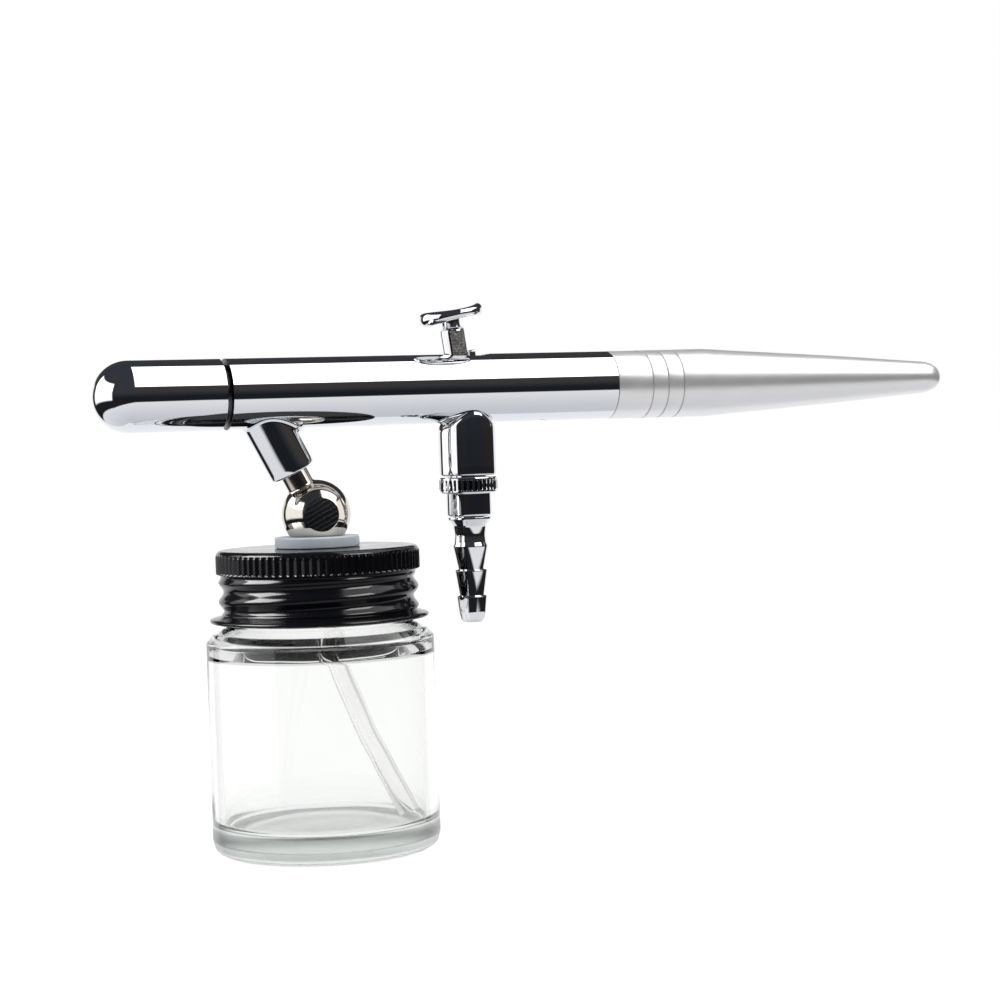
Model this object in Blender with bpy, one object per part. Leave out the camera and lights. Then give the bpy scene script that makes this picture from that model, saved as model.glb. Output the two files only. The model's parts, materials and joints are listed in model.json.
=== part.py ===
"""Siphon-feed double-action airbrush with its paint jar.

Frame: origin at the centre of the jar's underside, +Z up, gun axis along X
(nozzle towards -X, handle towards +X). Dimensions are in millimetres and are
turned into metres when a mesh is made.
"""

import math

import bmesh
import bpy
from mathutils import Matrix, Vector

MM = 0.001

# ---------------------------------------------------------------- main layout
AXIS_Z = 77.45  # height of the gun's axis
GUN_R = 6.0  # outside radius of barrel, cap and handle front
VALVE_X = 27.7  # vertical axis of the air valve
SOCKET_LEAN = 27.4  # degrees between the fluid socket and the vertical
BALL_C = (0.0, 0.0, 56.8)  # centre of the bottle adaptor's ball
TRIGGER_LEAN = -7.7  # degrees, top towards the nozzle at rest
TRIGGER_PIVOT = (27.45, 0.0, 74.0)
TRIGGER_TWIST = 6.2  # degrees, the trigger's turn about its own stem
LEVER_PIVOT = (30.58, 0.0, 72.5)
GAP = 0.3  # working gap between neighbouring pieces

# segments round each size of piece
STEPS_BIG = 32
STEPS_MID = 24
STEPS_SMALL = 16
STEPS_FINE = 10

# ---------------------------------------------------------------- barrel and front end
CAP_END = -16.05
CAP_DOME_X = -31.45
CAP_WALL = 0.9
BARREL_SPIGOT = (-20.5, 4.9)
BARREL_CHAMFER = ((-15.75, 5.3), (-15.05, GUN_R))
RING_GROOVE = (-18.45, -17.55, 4.35)
BARREL_END = 54.2
REAR_SPIGOT = (60.0, 4.75)
BORE_HEAD = (-12.0, 3.7)
BORE_PAINT = (1.0, 1.5)
BORE_PACKING = (12.2, 2.4)
BORE_TRIGGER = (36.0, 3.6)
BORE_REAR_R = 4.2
SLOT_X = (23.5, 31.9)
SLOT_HALF_WIDTH = 2.05
LEVER_SLOT = (34.1, 0.85)
VENT_X = 41.2
VENT_R = 1.0
LEVER_POCKET = ((29.6, 32.2), 2.1, (71.95, 77.0))
VALVE_BORE_R = 3.0
PAINT_HOLE_R = 1.5
NEEDLE_R = 0.6
NEEDLE_TIP = -33.8
NEEDLE_TAPER = -24.0
NEEDLE_TAIL = 79.0
NEEDLE_HOLE_R = 0.9

# ---------------------------------------------------------------- fluid socket and adaptor, measured from the ball
SOCKET_R = 4.0
SOCKET_LOW = 8.3
SOCKET_BORE_R = 2.65
SOCKET_BORE_TOP = 14.5
STEM_R = 2.35
STEM_TOP = 14.1
BALL_R = 5.87
BALL_CUT_Z = 53.15
BALL_FLAT = 5.1  # distance of the wrench flats from the ball's centre
BALL_FLAT_TURN = -5.5  # degrees, flats turned towards the nozzle
LOWER_STEM_R = 2.45
LOWER_STEM_Z = 43.5
ADAPTOR_BORE_R = 1.0
TUBE_SEAT_R = 1.95
TUBE_SEAT_Z = 46.6

# ---------------------------------------------------------------- air valve
CASING_R = 5.0
CASING_Z = 62.35
CASING_SPIGOT = (59.6, 3.3)
CASING_BORE_R = 2.5
CASING_SHOULDER_Z = 67.5
CASING_GUIDE_R = 1.85
COLLAR_R = 5.0
COLLAR_RIPPLE = 0.12
COLLAR_TEETH = 18
COLLAR_Z = (55.3, 59.3, 62.1)
COLLAR_BODY_R = 4.0

# ---------------------------------------------------------------- trigger
BUTTON_R = 5.65
BUTTON_MID = 16.35
BUTTON_HALF = 0.83  # half the button's thickness at its middle
BUTTON_SWELL = 0.37 / 4.5**2  # growth of that half thickness towards the button's ends, per mm squared
BUTTON_TILT = 0.045
BUTTON_SHIFT = 0.2
STEM_LOWER_R = 2.16
STEM_UPPER_R = 1.48
STEM_FLAT = 1.68
STEM_STEP = 13.75
FOOT_R = 1.9
TRIGGER_WINDOW = (0.95, 1.9, 7.1)
LEVER_HALF_WIDTH = 1.8
LEVER_EAR = (0.55, 7.6)  # half width of the upper part, and where it begins
LEVER_HALF_THICKNESS = 0.5
LEVER_HEIGHT = 11.75
LEVER_WINDOW = (0.95, 3.5, 6.5)

# ---------------------------------------------------------------- jar and lid
JAR_R = 19.32
JAR_FLOOR = 4.4
NECK_R = 15.4
NECK_TOP = 48.8
MOUTH_R = 13.5
LID_HOLE_R = 2.8
LID_TEETH = 22
LID_RIPPLE = 0.17
TUBE_R = 1.7
TUBE_BORE_R = 1.15
TUBE_PATH = [(0.0, 46.2), (0.0, 43.0), (0.2, 38.5), (0.9, 34.3), (2.1, 30.6), (3.8, 27.0), (5.7, 23.4),
             (7.7, 19.8), (9.6, 16.2), (11.4, 12.6), (13.0, 9.3), (14.5, 6.2)]
TUBE_TURN = -36.0  # degrees, the tube's bend turned towards -Y

FINISHES = {
    "chrome": ((0.78, 0.79, 0.80), 1.0, 0.06),
    "nickel": ((0.74, 0.70, 0.64), 1.0, 0.14),
    "satin aluminium": ((0.80, 0.80, 0.81), 1.0, 0.38),
    "steel": ((0.62, 0.62, 0.63), 1.0, 0.22),
    "brass": ((0.78, 0.60, 0.30), 1.0, 0.25),
    "black lacquer": ((0.012, 0.012, 0.014), 0.0, 0.12),
    "clear glass": ((0.86, 0.92, 0.89), 0.0, 0.03),
    "nylon": ((0.70, 0.74, 0.78), 0.0, 0.35),
    "rubber": ((0.03, 0.03, 0.03), 0.0, 0.6),
    "ptfe": ((0.85, 0.85, 0.84), 0.0, 0.45),
    "clear plastic": ((0.88, 0.90, 0.90), 0.0, 0.15),
}


def clear_scene():
    for obj in list(bpy.data.objects):
        bpy.data.objects.remove(obj, do_unlink=True)


def make_material(name, finish):
    color, metallic, roughness = FINISHES[finish]
    material = bpy.data.materials.new(name)
    material.use_nodes = True
    shader = material.node_tree.nodes["Principled BSDF"]
    shader.inputs["Base Color"].default_value = (*color, 1.0)
    shader.inputs["Metallic"].default_value = metallic
    shader.inputs["Roughness"].default_value = roughness
    return material


def frame_of(origin, axis, side=None):
    """A matrix whose Z runs along axis, with side as its X."""
    w = Vector(axis).normalized()
    if side is None:
        side = (0, 1, 0) if abs(w.y) < 0.9 else (1, 0, 0)
    u = Vector(side)
    u = (u - w * u.dot(w)).normalized()
    v = w.cross(u)
    matrix = Matrix((u, v, w)).transposed().to_4x4()
    matrix.translation = Vector(origin)
    return matrix


GUN = frame_of((0, 0, AXIS_Z), (1, 0, 0), (0, 0, 1))
UPRIGHT = frame_of((0, 0, 0), (0, 0, 1), (1, 0, 0))
VALVE = frame_of((VALVE_X, 0, 0), (0, 0, 1), (1, 0, 0))
LEAN = math.radians(SOCKET_LEAN)
SOCKET_AXIS = (-math.sin(LEAN), 0.0, math.cos(LEAN))
SOCKET = frame_of(BALL_C, SOCKET_AXIS, (0, 1, 0))
TILT = math.radians(TRIGGER_LEAN)
STEM_AXIS = (math.sin(TILT), 0.0, math.cos(TILT))
TWIST = math.radians(TRIGGER_TWIST)
TRIGGER = frame_of(TRIGGER_PIVOT, STEM_AXIS, (math.cos(TWIST), math.sin(TWIST), 0))
LEVER = frame_of(LEVER_PIVOT, STEM_AXIS, (1, 0, 0))


def finish_object(bm, name, finish, smooth):
    bmesh.ops.remove_doubles(bm, verts=bm.verts, dist=1e-7)
    bmesh.ops.recalc_face_normals(bm, faces=bm.faces)
    mesh = bpy.data.meshes.new(name)
    bm.to_mesh(mesh)
    bm.free()
    obj = bpy.data.objects.new(name, mesh)
    bpy.context.scene.collection.objects.link(obj)
    if finish:
        mesh.materials.append(make_material(name, finish))
    if smooth:
        shade(obj)
    return obj


def shade(obj):
    obj.data.shade_smooth()
    obj.data.set_sharp_from_angle(angle=math.radians(32))


def lathe(name, profile, frame, steps, finish=None, ripple=0.0, ripple_range=None, bend=None):
    """A solid of revolution from a closed outline of (along the axis, radius) points."""
    bm = bmesh.new()
    rings = []
    for along, radius in profile:
        if radius < 1e-6:
            rings.append([bm.verts.new(frame @ Vector((0, 0, along)) * MM)])
            continue
        ring = []
        for k in range(steps):
            r = radius
            if ripple and ripple_range[0] <= along <= ripple_range[1] and radius > ripple_range[2]:
                r += ripple if k % 2 else -ripple
            angle = 2 * math.pi * k / steps
            local = Vector((r * math.cos(angle), r * math.sin(angle), along))
            if bend:
                local = bend(local)
            ring.append(bm.verts.new(frame @ local * MM))
        rings.append(ring)
    for i, low in enumerate(rings):
        high = rings[(i + 1) % len(rings)]
        if len(low) == 1 and len(high) == 1:
            continue
        for k in range(steps):
            n = (k + 1) % steps
            corners = [low[k % len(low)], low[n % len(low)], high[n % len(high)], high[k % len(high)]]
            unique = list(dict.fromkeys(corners))
            bm.faces.new(unique)
    return finish_object(bm, name, finish, smooth=True)


def block(name, low, high, frame=None):
    bm = bmesh.new()
    bmesh.ops.create_cube(bm, size=1.0)
    low, high = Vector(low), Vector(high)
    size, middle = high - low, (high + low) / 2
    for v in bm.verts:
        local = Vector((v.co.x * size.x, v.co.y * size.y, v.co.z * size.z)) + middle
        v.co = (frame @ local if frame else local) * MM
    return finish_object(bm, name, None, smooth=False)


def rod(name, radius, low, high, frame, steps=STEPS_SMALL):
    return lathe(name, [(low, 0), (low, radius), (high, radius), (high, 0)], frame, steps)


def prism(name, corners, low, high, frame, finish=None):
    """A straight prism of an outline in the frame's XY plane, with an optional hole left to cutters."""
    bm = bmesh.new()
    bottom = [bm.verts.new(frame @ Vector((x, y, low)) * MM) for x, y in corners]
    top = [bm.verts.new(frame @ Vector((x, y, high)) * MM) for x, y in corners]
    bm.faces.new(bottom)
    bm.faces.new(top)
    count = len(corners)
    for k in range(count):
        n = (k + 1) % count
        bm.faces.new([bottom[k], bottom[n], top[n], top[k]])
    return finish_object(bm, name, finish, smooth=False)


def combine(obj, other, operation):
    """Applies one Boolean to obj and removes the other piece."""
    modifier = obj.modifiers.new("combine", "BOOLEAN")
    modifier.object = other
    modifier.operation = operation
    modifier.solver = "EXACT"
    other.hide_render = True
    other.display_type = "WIRE"
    bpy.context.view_layer.update()
    evaluated = obj.evaluated_get(bpy.context.evaluated_depsgraph_get())
    result = bpy.data.meshes.new_from_object(evaluated)
    result.name = obj.name
    obj.modifiers.clear()
    obj.data = result
    bpy.data.objects.remove(other, do_unlink=True)


def cut(obj, *others):
    for other in others:
        combine(obj, other, "DIFFERENCE")


def join(obj, *others):
    for other in others:
        combine(obj, other, "UNION")


def set_origin(obj, point):
    """Puts the object's origin on its joint, with the mesh left where it is."""
    shift = Vector(point) * MM
    obj.data.transform(Matrix.Translation(-shift))
    obj.location = shift


def arc(centre, radius, first, last, count):
    """Points on a circle in the (along, radius) plane, with angles in degrees from the axis."""
    points = []
    for k in range(count + 1):
        a = math.radians(first + (last - first) * k / count)
        points.append((centre[0] + radius * math.cos(a), centre[1] + radius * math.sin(a)))
    return points


def tube_along(name, path, radius, bore, sides, finish):
    """An open tube that follows a path in the upright plane turned by TUBE_TURN."""
    bm = bmesh.new()
    turn = Matrix.Rotation(math.radians(TUBE_TURN), 3, "Z")
    points = [turn @ Vector((x, 0, z)) for x, z in path]
    loops = []
    for i, p in enumerate(points):
        before = points[max(i - 1, 0)]
        after = points[min(i + 1, len(points) - 1)]
        frame = frame_of(p, after - before, turn @ Vector((0, 1, 0)))
        loops.append([ring_of(bm, frame, r, sides) for r in (radius, bore)])
    for a, b in zip(loops, loops[1:]):
        bridge(bm, a[0], b[0])
        bridge(bm, b[1], a[1])
    bridge(bm, loops[0][1], loops[0][0])
    bridge(bm, loops[-1][0], loops[-1][1])
    return finish_object(bm, name, finish, smooth=True)


def ring_of(bm, frame, radius, sides):
    ring = []
    for k in range(sides):
        a = 2 * math.pi * k / sides
        ring.append(bm.verts.new(frame @ Vector((radius * math.cos(a), radius * math.sin(a), 0)) * MM))
    return ring


def bridge(bm, a, b):
    for k in range(len(a)):
        n = (k + 1) % len(a)
        bm.faces.new([a[k], a[n], b[n], b[k]])


def coil(name, frame, low, high, radius, wire, turns, finish, steps=8, sides=4):
    """A helical compression spring along the frame's Z."""
    bm = bmesh.new()
    count = int(turns * steps)
    rings = []
    for i in range(count + 1):
        a = 2 * math.pi * i / steps
        along = low + wire + (high - low - 2 * wire) * i / count
        centre = Vector((radius * math.cos(a), radius * math.sin(a), along))
        slope = (high - low - 2 * wire) / count * steps / (2 * math.pi)
        heading = Vector((-radius * math.sin(a), radius * math.cos(a), slope))
        local = frame_of(centre, heading, (math.cos(a), math.sin(a), 0))
        rings.append(ring_of(bm, frame @ local, wire, sides))
    for a, b in zip(rings, rings[1:]):
        bridge(bm, a, b)
    bm.faces.new(rings[0])
    bm.faces.new(rings[-1])
    return finish_object(bm, name, finish, smooth=True)


# ---------------------------------------------------------------- pieces of the gun's front
def build_protective_cap():
    dome = arc((CAP_DOME_X, 0), GUN_R, 90, 180, 7)
    hollow = arc((CAP_DOME_X, 0), GUN_R - CAP_WALL, 180, 90, 5)
    profile = [(CAP_END - 0.15, GUN_R)] + dome[:-1] + [(CAP_DOME_X - GUN_R, 0)]
    profile += [(CAP_DOME_X - GUN_R + CAP_WALL, 0)] + hollow[1:]
    profile += [(CAP_END, GUN_R - CAP_WALL), (CAP_END, GUN_R - 0.15)]
    return lathe("protective_cap", profile, GUN, STEPS_BIG, "chrome")


def build_barrel():
    groove_low, groove_high, groove_r = RING_GROOVE
    outside = [
        (BARREL_SPIGOT[0], BARREL_SPIGOT[1] - 0.3),
        (BARREL_SPIGOT[0] + 0.3, BARREL_SPIGOT[1]),
        (groove_low, BARREL_SPIGOT[1]),
        (groove_low, groove_r),
        (groove_high, groove_r),
        (groove_high, BARREL_SPIGOT[1]),
        (BARREL_CHAMFER[0][0], BARREL_SPIGOT[1]),
        *BARREL_CHAMFER,
        (BARREL_END - 0.15, GUN_R),
        (BARREL_END, GUN_R - 0.15),
        (BARREL_END, REAR_SPIGOT[1]),
        REAR_SPIGOT,
    ]
    bores = [
        (REAR_SPIGOT[0], BORE_REAR_R),
        (BORE_TRIGGER[0], BORE_REAR_R),
        BORE_TRIGGER,
        (BORE_PACKING[0], BORE_TRIGGER[1]),
        BORE_PACKING,
        (BORE_PAINT[0], BORE_PACKING[1]),
        BORE_PAINT,
        (BORE_HEAD[0], BORE_PAINT[1]),
        BORE_HEAD,
        (BARREL_SPIGOT[0], BORE_HEAD[1]),
    ]
    barrel = lathe("barrel", outside + bores, GUN, STEPS_BIG, "chrome")
    (pocket_a, pocket_b), pocket_half, (pocket_low, pocket_high) = LEVER_POCKET
    cut(
        barrel,
        block("slot", (SLOT_X[0], -SLOT_HALF_WIDTH, AXIS_Z), (SLOT_X[1], SLOT_HALF_WIDTH, AXIS_Z + 8)),
        block("lever_slot", (SLOT_X[1] - 1, -LEVER_SLOT[1], AXIS_Z), (LEVER_SLOT[0], LEVER_SLOT[1], AXIS_Z + 8)),
        rod("valve_bore", VALVE_BORE_R, 68, AXIS_Z - 0.4, VALVE),
        rod("vent", VENT_R, AXIS_Z - 8, AXIS_Z - 3, frame_of((VENT_X, 0, 0), (0, 0, 1), (1, 0, 0)), STEPS_FINE),
        block("lever_pocket", (pocket_a, -pocket_half, pocket_low), (pocket_b, pocket_half, pocket_high)),
        rod("paint_hole", PAINT_HOLE_R, 14, 22.8, SOCKET, STEPS_FINE),
    )
    shade(barrel)
    return barrel


def build_cap_ring():
    ring = arc((sum(RING_GROOVE[:2]) / 2, 4.74), 0.3, 30, 330, 5)
    return lathe("cap_friction_ring", ring, GUN, STEPS_MID, "rubber")


def build_nozzle_holder():
    profile = [(-12.4, 3.4), (-21.4, 3.4), (-21.4, 4.4), (-24.0, 4.4), (-24.0, 2.1), (-19.8, 2.1), (-19.8, 1.0),
               (-12.4, 1.0)]
    return lathe("nozzle_holder", profile, GUN, STEPS_SMALL, "brass")


def build_head_seal():
    return lathe("head_seal", [(-20.65, 3.75), (-20.65, 4.5), (-21.25, 4.5), (-21.25, 3.75)], GUN, STEPS_SMALL, "ptfe")


def build_nozzle():
    profile = [(-20.1, 1.8), (-23.6, 1.8), (-24.6, 1.45), (-32.2, 0.72), (-32.2, 0.42), (-26.0, 1.0), (-20.1, 1.0)]
    return lathe("nozzle", profile, GUN, STEPS_FINE, "nickel")


def build_nozzle_cap():
    profile = [(-24.3, 4.4), (-29.2, 4.4), (-32.0, 2.5), (-32.0, 1.1), (-31.0, 1.3), (-28.6, 3.0), (-24.3, 3.0)]
    return lathe("nozzle_cap", profile, GUN, STEPS_SMALL, "chrome")


def build_needle_cap():
    profile = [(-32.3, 2.4), (-34.4, 2.6), (-34.8, 2.3), (-34.8, 1.5), (-33.0, 1.2), (-32.3, 1.2)]
    return lathe("needle_cap", profile, GUN, STEPS_SMALL, "chrome")


def build_needle():
    profile = [(NEEDLE_TIP, 0), (NEEDLE_TIP + 0.1, 0.04), (NEEDLE_TAPER, NEEDLE_R), (NEEDLE_TAIL - 0.3, NEEDLE_R),
               (NEEDLE_TAIL, 0.35), (NEEDLE_TAIL, 0)]
    return lathe("needle", profile, GUN, STEPS_FINE, "steel")


def build_packing():
    return lathe("needle_packing", [(1.3, 0.9), (1.3, 2.1), (4.3, 2.1), (4.3, 0.9)], GUN, STEPS_SMALL, "ptfe")


def build_packing_screw():
    screw = lathe("packing_screw", [(4.6, 0.9), (4.6, 2.1), (10.5, 2.1), (10.5, 0.9)], GUN, STEPS_SMALL, "brass")
    cut(screw, block("driver_slot", (9.4, -3.0, AXIS_Z - 0.4), (11.5, 3.0, AXIS_Z + 0.4)))
    return screw


# ---------------------------------------------------------------- rear of the gun
def build_needle_chuck():
    profile = [(30.9, 0.9), (30.9, 1.6), (34.5, 1.6), (34.5, 3.0), (35.7, 3.0), (35.7, 1.6), (68.0, 1.6), (68.0, 0.9)]
    chuck = lathe("needle_chuck", profile, GUN, STEPS_SMALL, "brass")
    set_origin(chuck, (30.9, 0, AXIS_Z))
    return chuck


def build_needle_spring():
    return coil("needle_spring", GUN, 36.0, 49.7, 2.45, 0.3, 7, "steel")


def build_spring_case():
    profile = [(36.5, 3.3), (36.5, 3.9), (61.5, 3.9), (61.5, 2.9), (52.0, 2.9), (52.0, 1.9), (50.0, 1.9), (50.0, 3.3)]
    return lathe("spring_case", profile, GUN, STEPS_SMALL, "brass")


def build_chuck_nut():
    profile = [(63.0, 1.9), (63.0, 3.0), (63.3, 3.3), (71.0, 3.3), (71.5, 2.8), (71.5, 0.9), (68.5, 0.9), (68.5, 1.9)]
    nut = lathe("chuck_nut", profile, GUN, STEPS_SMALL, "nickel", 0.1, (63.2, 71.1, 3.2))
    set_origin(nut, (67.0, 0, AXIS_Z))
    return nut


def build_handle():
    outside = [(54.5, 5.85), (54.65, 6.0)]
    for x in (61.0, 64.0, 67.05):
        outside += [(x - 0.15, 6.06), (x, 5.9), (x + 0.15, 6.06)]
    outside += [(73.2, 6.1), (75.0, 5.98), (77.2, 5.82), (81.2, 5.57), (93.5, 4.8), (104.0, 4.1), (114.8, 3.24),
                (119.6, 2.9), (121.0, 2.65), (122.1, 2.05), (122.8, 1.1), (123.0, 0)]
    inside = [(92.0, 0), (91.5, 1.2), (76.0, 1.2), (76.0, 3.9), (62.5, 3.9), (62.5, 5.05), (54.5, 5.05)]
    handle = lathe("handle", outside + inside, GUN, STEPS_BIG, "satin aluminium")
    set_origin(handle, (BARREL_END, 0, AXIS_Z))
    return handle


# ---------------------------------------------------------------- trigger and air valve
def saddle(local):
    """Thickens the button's ends, tilts it and sets it a little to the rear."""
    if local.z > 15.0:
        share = (local.z - BUTTON_MID) / BUTTON_HALF
        local.z = BUTTON_MID + share * (BUTTON_HALF + BUTTON_SWELL * local.x**2) + BUTTON_TILT * local.x
        local.x += BUTTON_SHIFT
    return local


def build_trigger():
    stem = arc((0, 0), FOOT_R, 180, 100, 5)
    low, high = BUTTON_MID - BUTTON_HALF, BUTTON_MID + BUTTON_HALF
    profile = [(-FOOT_R, 0)] + stem[1:] + [(0.35, STEM_LOWER_R), (STEM_STEP, STEM_LOWER_R), (STEM_STEP + 0.5, STEM_UPPER_R)]
    profile += [(low, STEM_UPPER_R), (low, 3.0), (low, BUTTON_R - 1.2), (low + 0.24, BUTTON_R - 0.4), (BUTTON_MID, BUTTON_R)]
    profile += [(high - 0.24, BUTTON_R - 0.4), (high, BUTTON_R - 1.2), (high, 3.0), (high, 1.5), (high, 0)]
    trigger = lathe("trigger", profile, TRIGGER, STEPS_SMALL, "chrome", bend=saddle)
    half, low, high = TRIGGER_WINDOW
    cut(
        trigger,
        block("flat_a", (-4, STEM_FLAT, -4), (4, STEM_FLAT + 3, STEM_STEP - 0.3), TRIGGER),
        block("flat_b", (-4, -STEM_FLAT - 3, -4), (4, -STEM_FLAT, STEM_STEP - 0.3), TRIGGER),
        block("window", (-4, -half, low), (4, half, high), TRIGGER),
    )
    shade(trigger)
    set_origin(trigger, TRIGGER_PIVOT)
    return trigger


def build_trigger_lever():
    t = LEVER_HALF_THICKNESS
    foot = [(t * math.cos(a), t * math.sin(a)) for a in [math.pi * (1 + k / 6) for k in range(7)]]
    outline = foot + [(t, LEVER_HEIGHT - 0.3), (t - 0.3, LEVER_HEIGHT), (-t + 0.3, LEVER_HEIGHT), (-t, LEVER_HEIGHT - 0.3)]
    # the outline lies in the lever's XZ plane and runs across in Y
    side = LEVER @ Matrix(((1, 0, 0, 0), (0, 0, -1, 0), (0, 1, 0, 0), (0, 0, 0, 1)))
    lever = prism("trigger_lever", outline, -LEVER_HALF_WIDTH, LEVER_HALF_WIDTH, side, "steel")
    half, low, high = LEVER_WINDOW
    ear, ear_from = LEVER_EAR
    cut(
        lever,
        block("window", (-2, -half, low), (2, half, high), LEVER),
        block("shoulder_a", (-2, ear, ear_from), (2, 3, LEVER_HEIGHT + 1), LEVER),
        block("shoulder_b", (-2, -3, ear_from), (2, -ear, LEVER_HEIGHT + 1), LEVER),
    )
    set_origin(lever, LEVER_PIVOT)
    return lever


def build_valve_casing():
    spigot_z, spigot_r = CASING_SPIGOT
    profile = [(spigot_z, CASING_BORE_R), (spigot_z, spigot_r), (CASING_Z, spigot_r), (CASING_Z, CASING_R - 0.2),
               (CASING_Z + 0.2, CASING_R), (76.5, CASING_R), (76.5, CASING_GUIDE_R), (CASING_SHOULDER_Z, CASING_GUIDE_R),
               (CASING_SHOULDER_Z, CASING_BORE_R)]
    casing = lathe("air_valve_casing", profile, VALVE, STEPS_MID, "chrome")
    cut(casing, rod("saddle", GUN_R + GAP, 10, 46, GUN, STEPS_BIG))
    shade(casing)
    return casing


def build_valve_plunger():
    profile = [(65.0, 0), (65.0, 1.9), (65.2, 2.2), (66.3, 2.2), (66.3, 1.5), (71.6, 1.5), (71.8, 1.3), (71.8, 0)]
    plunger = lathe("air_valve_plunger", profile, VALVE, STEPS_SMALL, "brass")
    set_origin(plunger, (VALVE_X, 0, 65.0))
    return plunger


def build_valve_ring():
    ring = arc((66.9, 2.02), 0.22, 30, 330, 4)
    return lathe("air_valve_ring", ring, VALVE, STEPS_SMALL, "rubber")


def build_valve_spring():
    return coil("air_valve_spring", VALVE, 61.5, 64.7, 1.7, 0.22, 4, "steel")


def build_valve_screw():
    screw = lathe("air_valve_screw", [(59.8, 0.9), (59.8, 2.2), (61.2, 2.2), (61.2, 0.9)], VALVE, STEPS_SMALL, "brass")
    cut(screw, block("driver_slot", (VALVE_X - 3, -0.35, 59.0), (VALVE_X + 3, 0.35, 60.4)))
    return screw


def build_hose_seal():
    return lathe("hose_seal", [(58.85, 1.5), (58.85, 3.2), (59.45, 3.2), (59.45, 1.5)], VALVE, STEPS_SMALL, "rubber")


def build_hose_collar():
    low, step, high = COLLAR_Z
    profile = [(low, 3.0), (low, COLLAR_BODY_R - 0.3), (low + 0.3, COLLAR_BODY_R), (step, COLLAR_BODY_R),
               (step, COLLAR_R - 0.35), (step + 0.3, COLLAR_R), (high - 0.3, COLLAR_R), (high, COLLAR_R - 0.35),
               (high, 3.6), (57.2, 3.6), (57.2, 3.0)]
    collar = lathe("hose_collar", profile, VALVE, 2 * COLLAR_TEETH, "chrome", COLLAR_RIPPLE,
                   (step + 0.2, high - 0.2, 4.8))
    set_origin(collar, (VALVE_X, 0, step))
    return collar


def build_hose_barb():
    outside = [(58.7, 3.3), (57.5, 3.3), (57.5, 2.7), (55.1, 2.7), (55.1, 3.8), (54.9, 3.85), (53.8, 3.1), (52.3, 2.8),
               (51.4, 2.78), (50.6, 2.95), (50.1, 3.1), (46.1, 2.27), (45.8, 2.88), (41.6, 2.2), (41.3, 2.7),
               (40.5, 2.66), (38.6, 2.4), (37.4, 2.1), (36.8, 1.75)]
    bore = [(36.8, 1.1), (58.7, 1.1)]
    return lathe("hose_barb", outside + bore, VALVE, STEPS_SMALL, "chrome")


# ---------------------------------------------------------------- bottle side
def build_fluid_socket():
    profile = [(SOCKET_LOW, SOCKET_BORE_R), (SOCKET_LOW, SOCKET_R - 0.25), (SOCKET_LOW + 0.25, SOCKET_R), (21.0, SOCKET_R),
               (21.0, PAINT_HOLE_R), (SOCKET_BORE_TOP + 1.0, PAINT_HOLE_R), (SOCKET_BORE_TOP, SOCKET_BORE_R)]
    socket = lathe("fluid_socket", profile, SOCKET, STEPS_MID, "chrome")
    cut(socket, rod("saddle", GUN_R + GAP, -30, 14, GUN, STEPS_BIG))
    shade(socket)
    return socket


def build_bottle_adaptor():
    ball = arc((0, 0), BALL_R, 180, 0, 12)
    ball[0], ball[-1] = (-BALL_R, 0), (BALL_R, 0)
    adaptor = lathe("bottle_adaptor", ball, frame_of(BALL_C, (0, 0, 1), (1, 0, 0)), STEPS_MID, "nickel")
    turn = Matrix.Translation(BALL_C) @ Matrix.Rotation(math.radians(BALL_FLAT_TURN), 4, "Z")
    cut(
        adaptor,
        block("underside", (-8, -8, 46), (8, 8, BALL_CUT_Z)),
        block("wrench_flat_a", (-8, -12, -8), (8, -BALL_FLAT, 8), turn),
        block("wrench_flat_b", (-8, BALL_FLAT, -8), (8, 12, 8), turn),
    )
    stem = lathe("stem", [(3.0, 0), (3.0, STEM_R), (12.5, STEM_R), (STEM_TOP, 2.15), (STEM_TOP, 0)], SOCKET, STEPS_SMALL)
    lower = rod("lower_stem", LOWER_STEM_R, LOWER_STEM_Z, BALL_CUT_Z + 1.5, UPRIGHT)
    join(adaptor, stem, lower)
    cut(
        adaptor,
        rod("bore_a", ADAPTOR_BORE_R, -0.7, 16, SOCKET, STEPS_FINE),
        rod("bore_b", ADAPTOR_BORE_R, 40, BALL_C[2] + 0.2, UPRIGHT, STEPS_FINE),
        rod("tube_seat", TUBE_SEAT_R, 40, TUBE_SEAT_Z, UPRIGHT),
    )
    shade(adaptor)
    set_origin(adaptor, BALL_C)
    return adaptor


def build_lid_washer():
    profile = [(51.3, LID_HOLE_R), (51.3, 7.15), (51.4, 7.2), (52.95, 7.2), (53.05, 7.1), (53.05, LID_HOLE_R)]
    return lathe("lid_washer", profile, UPRIGHT, STEPS_MID, "nylon")


def build_lid():
    outside = [(51.2, LID_HOLE_R), (51.2, 16.3), (50.9, 16.95), (50.3, 17.28), (47.3, 17.28), (46.9, 16.65), (46.2, 16.55),
               (45.4, 16.85), (44.6, 16.4), (43.9, 16.4), (43.0, 16.9), (42.0, 16.35), (40.7, 16.3), (40.1, 16.8),
               (39.75, 17.8), (39.5, 18.5), (39.15, 18.5), (38.95, 18.2)]
    inside = [(38.95, 17.5), (39.4, 16.3), (39.9, 15.9), (47.0, 15.9), (47.4, 16.6), (50.5, 16.6), (50.5, LID_HOLE_R)]
    return lathe("jar_lid", outside + inside, UPRIGHT, 2 * LID_TEETH, "black lacquer", LID_RIPPLE, (47.2, 50.4, 17.1))


def build_lid_liner():
    profile = [(49.1, LID_HOLE_R), (49.1, 16.3), (50.2, 16.3), (50.2, LID_HOLE_R)]
    return lathe("lid_liner", profile, UPRIGHT, STEPS_MID, "ptfe")


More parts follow.
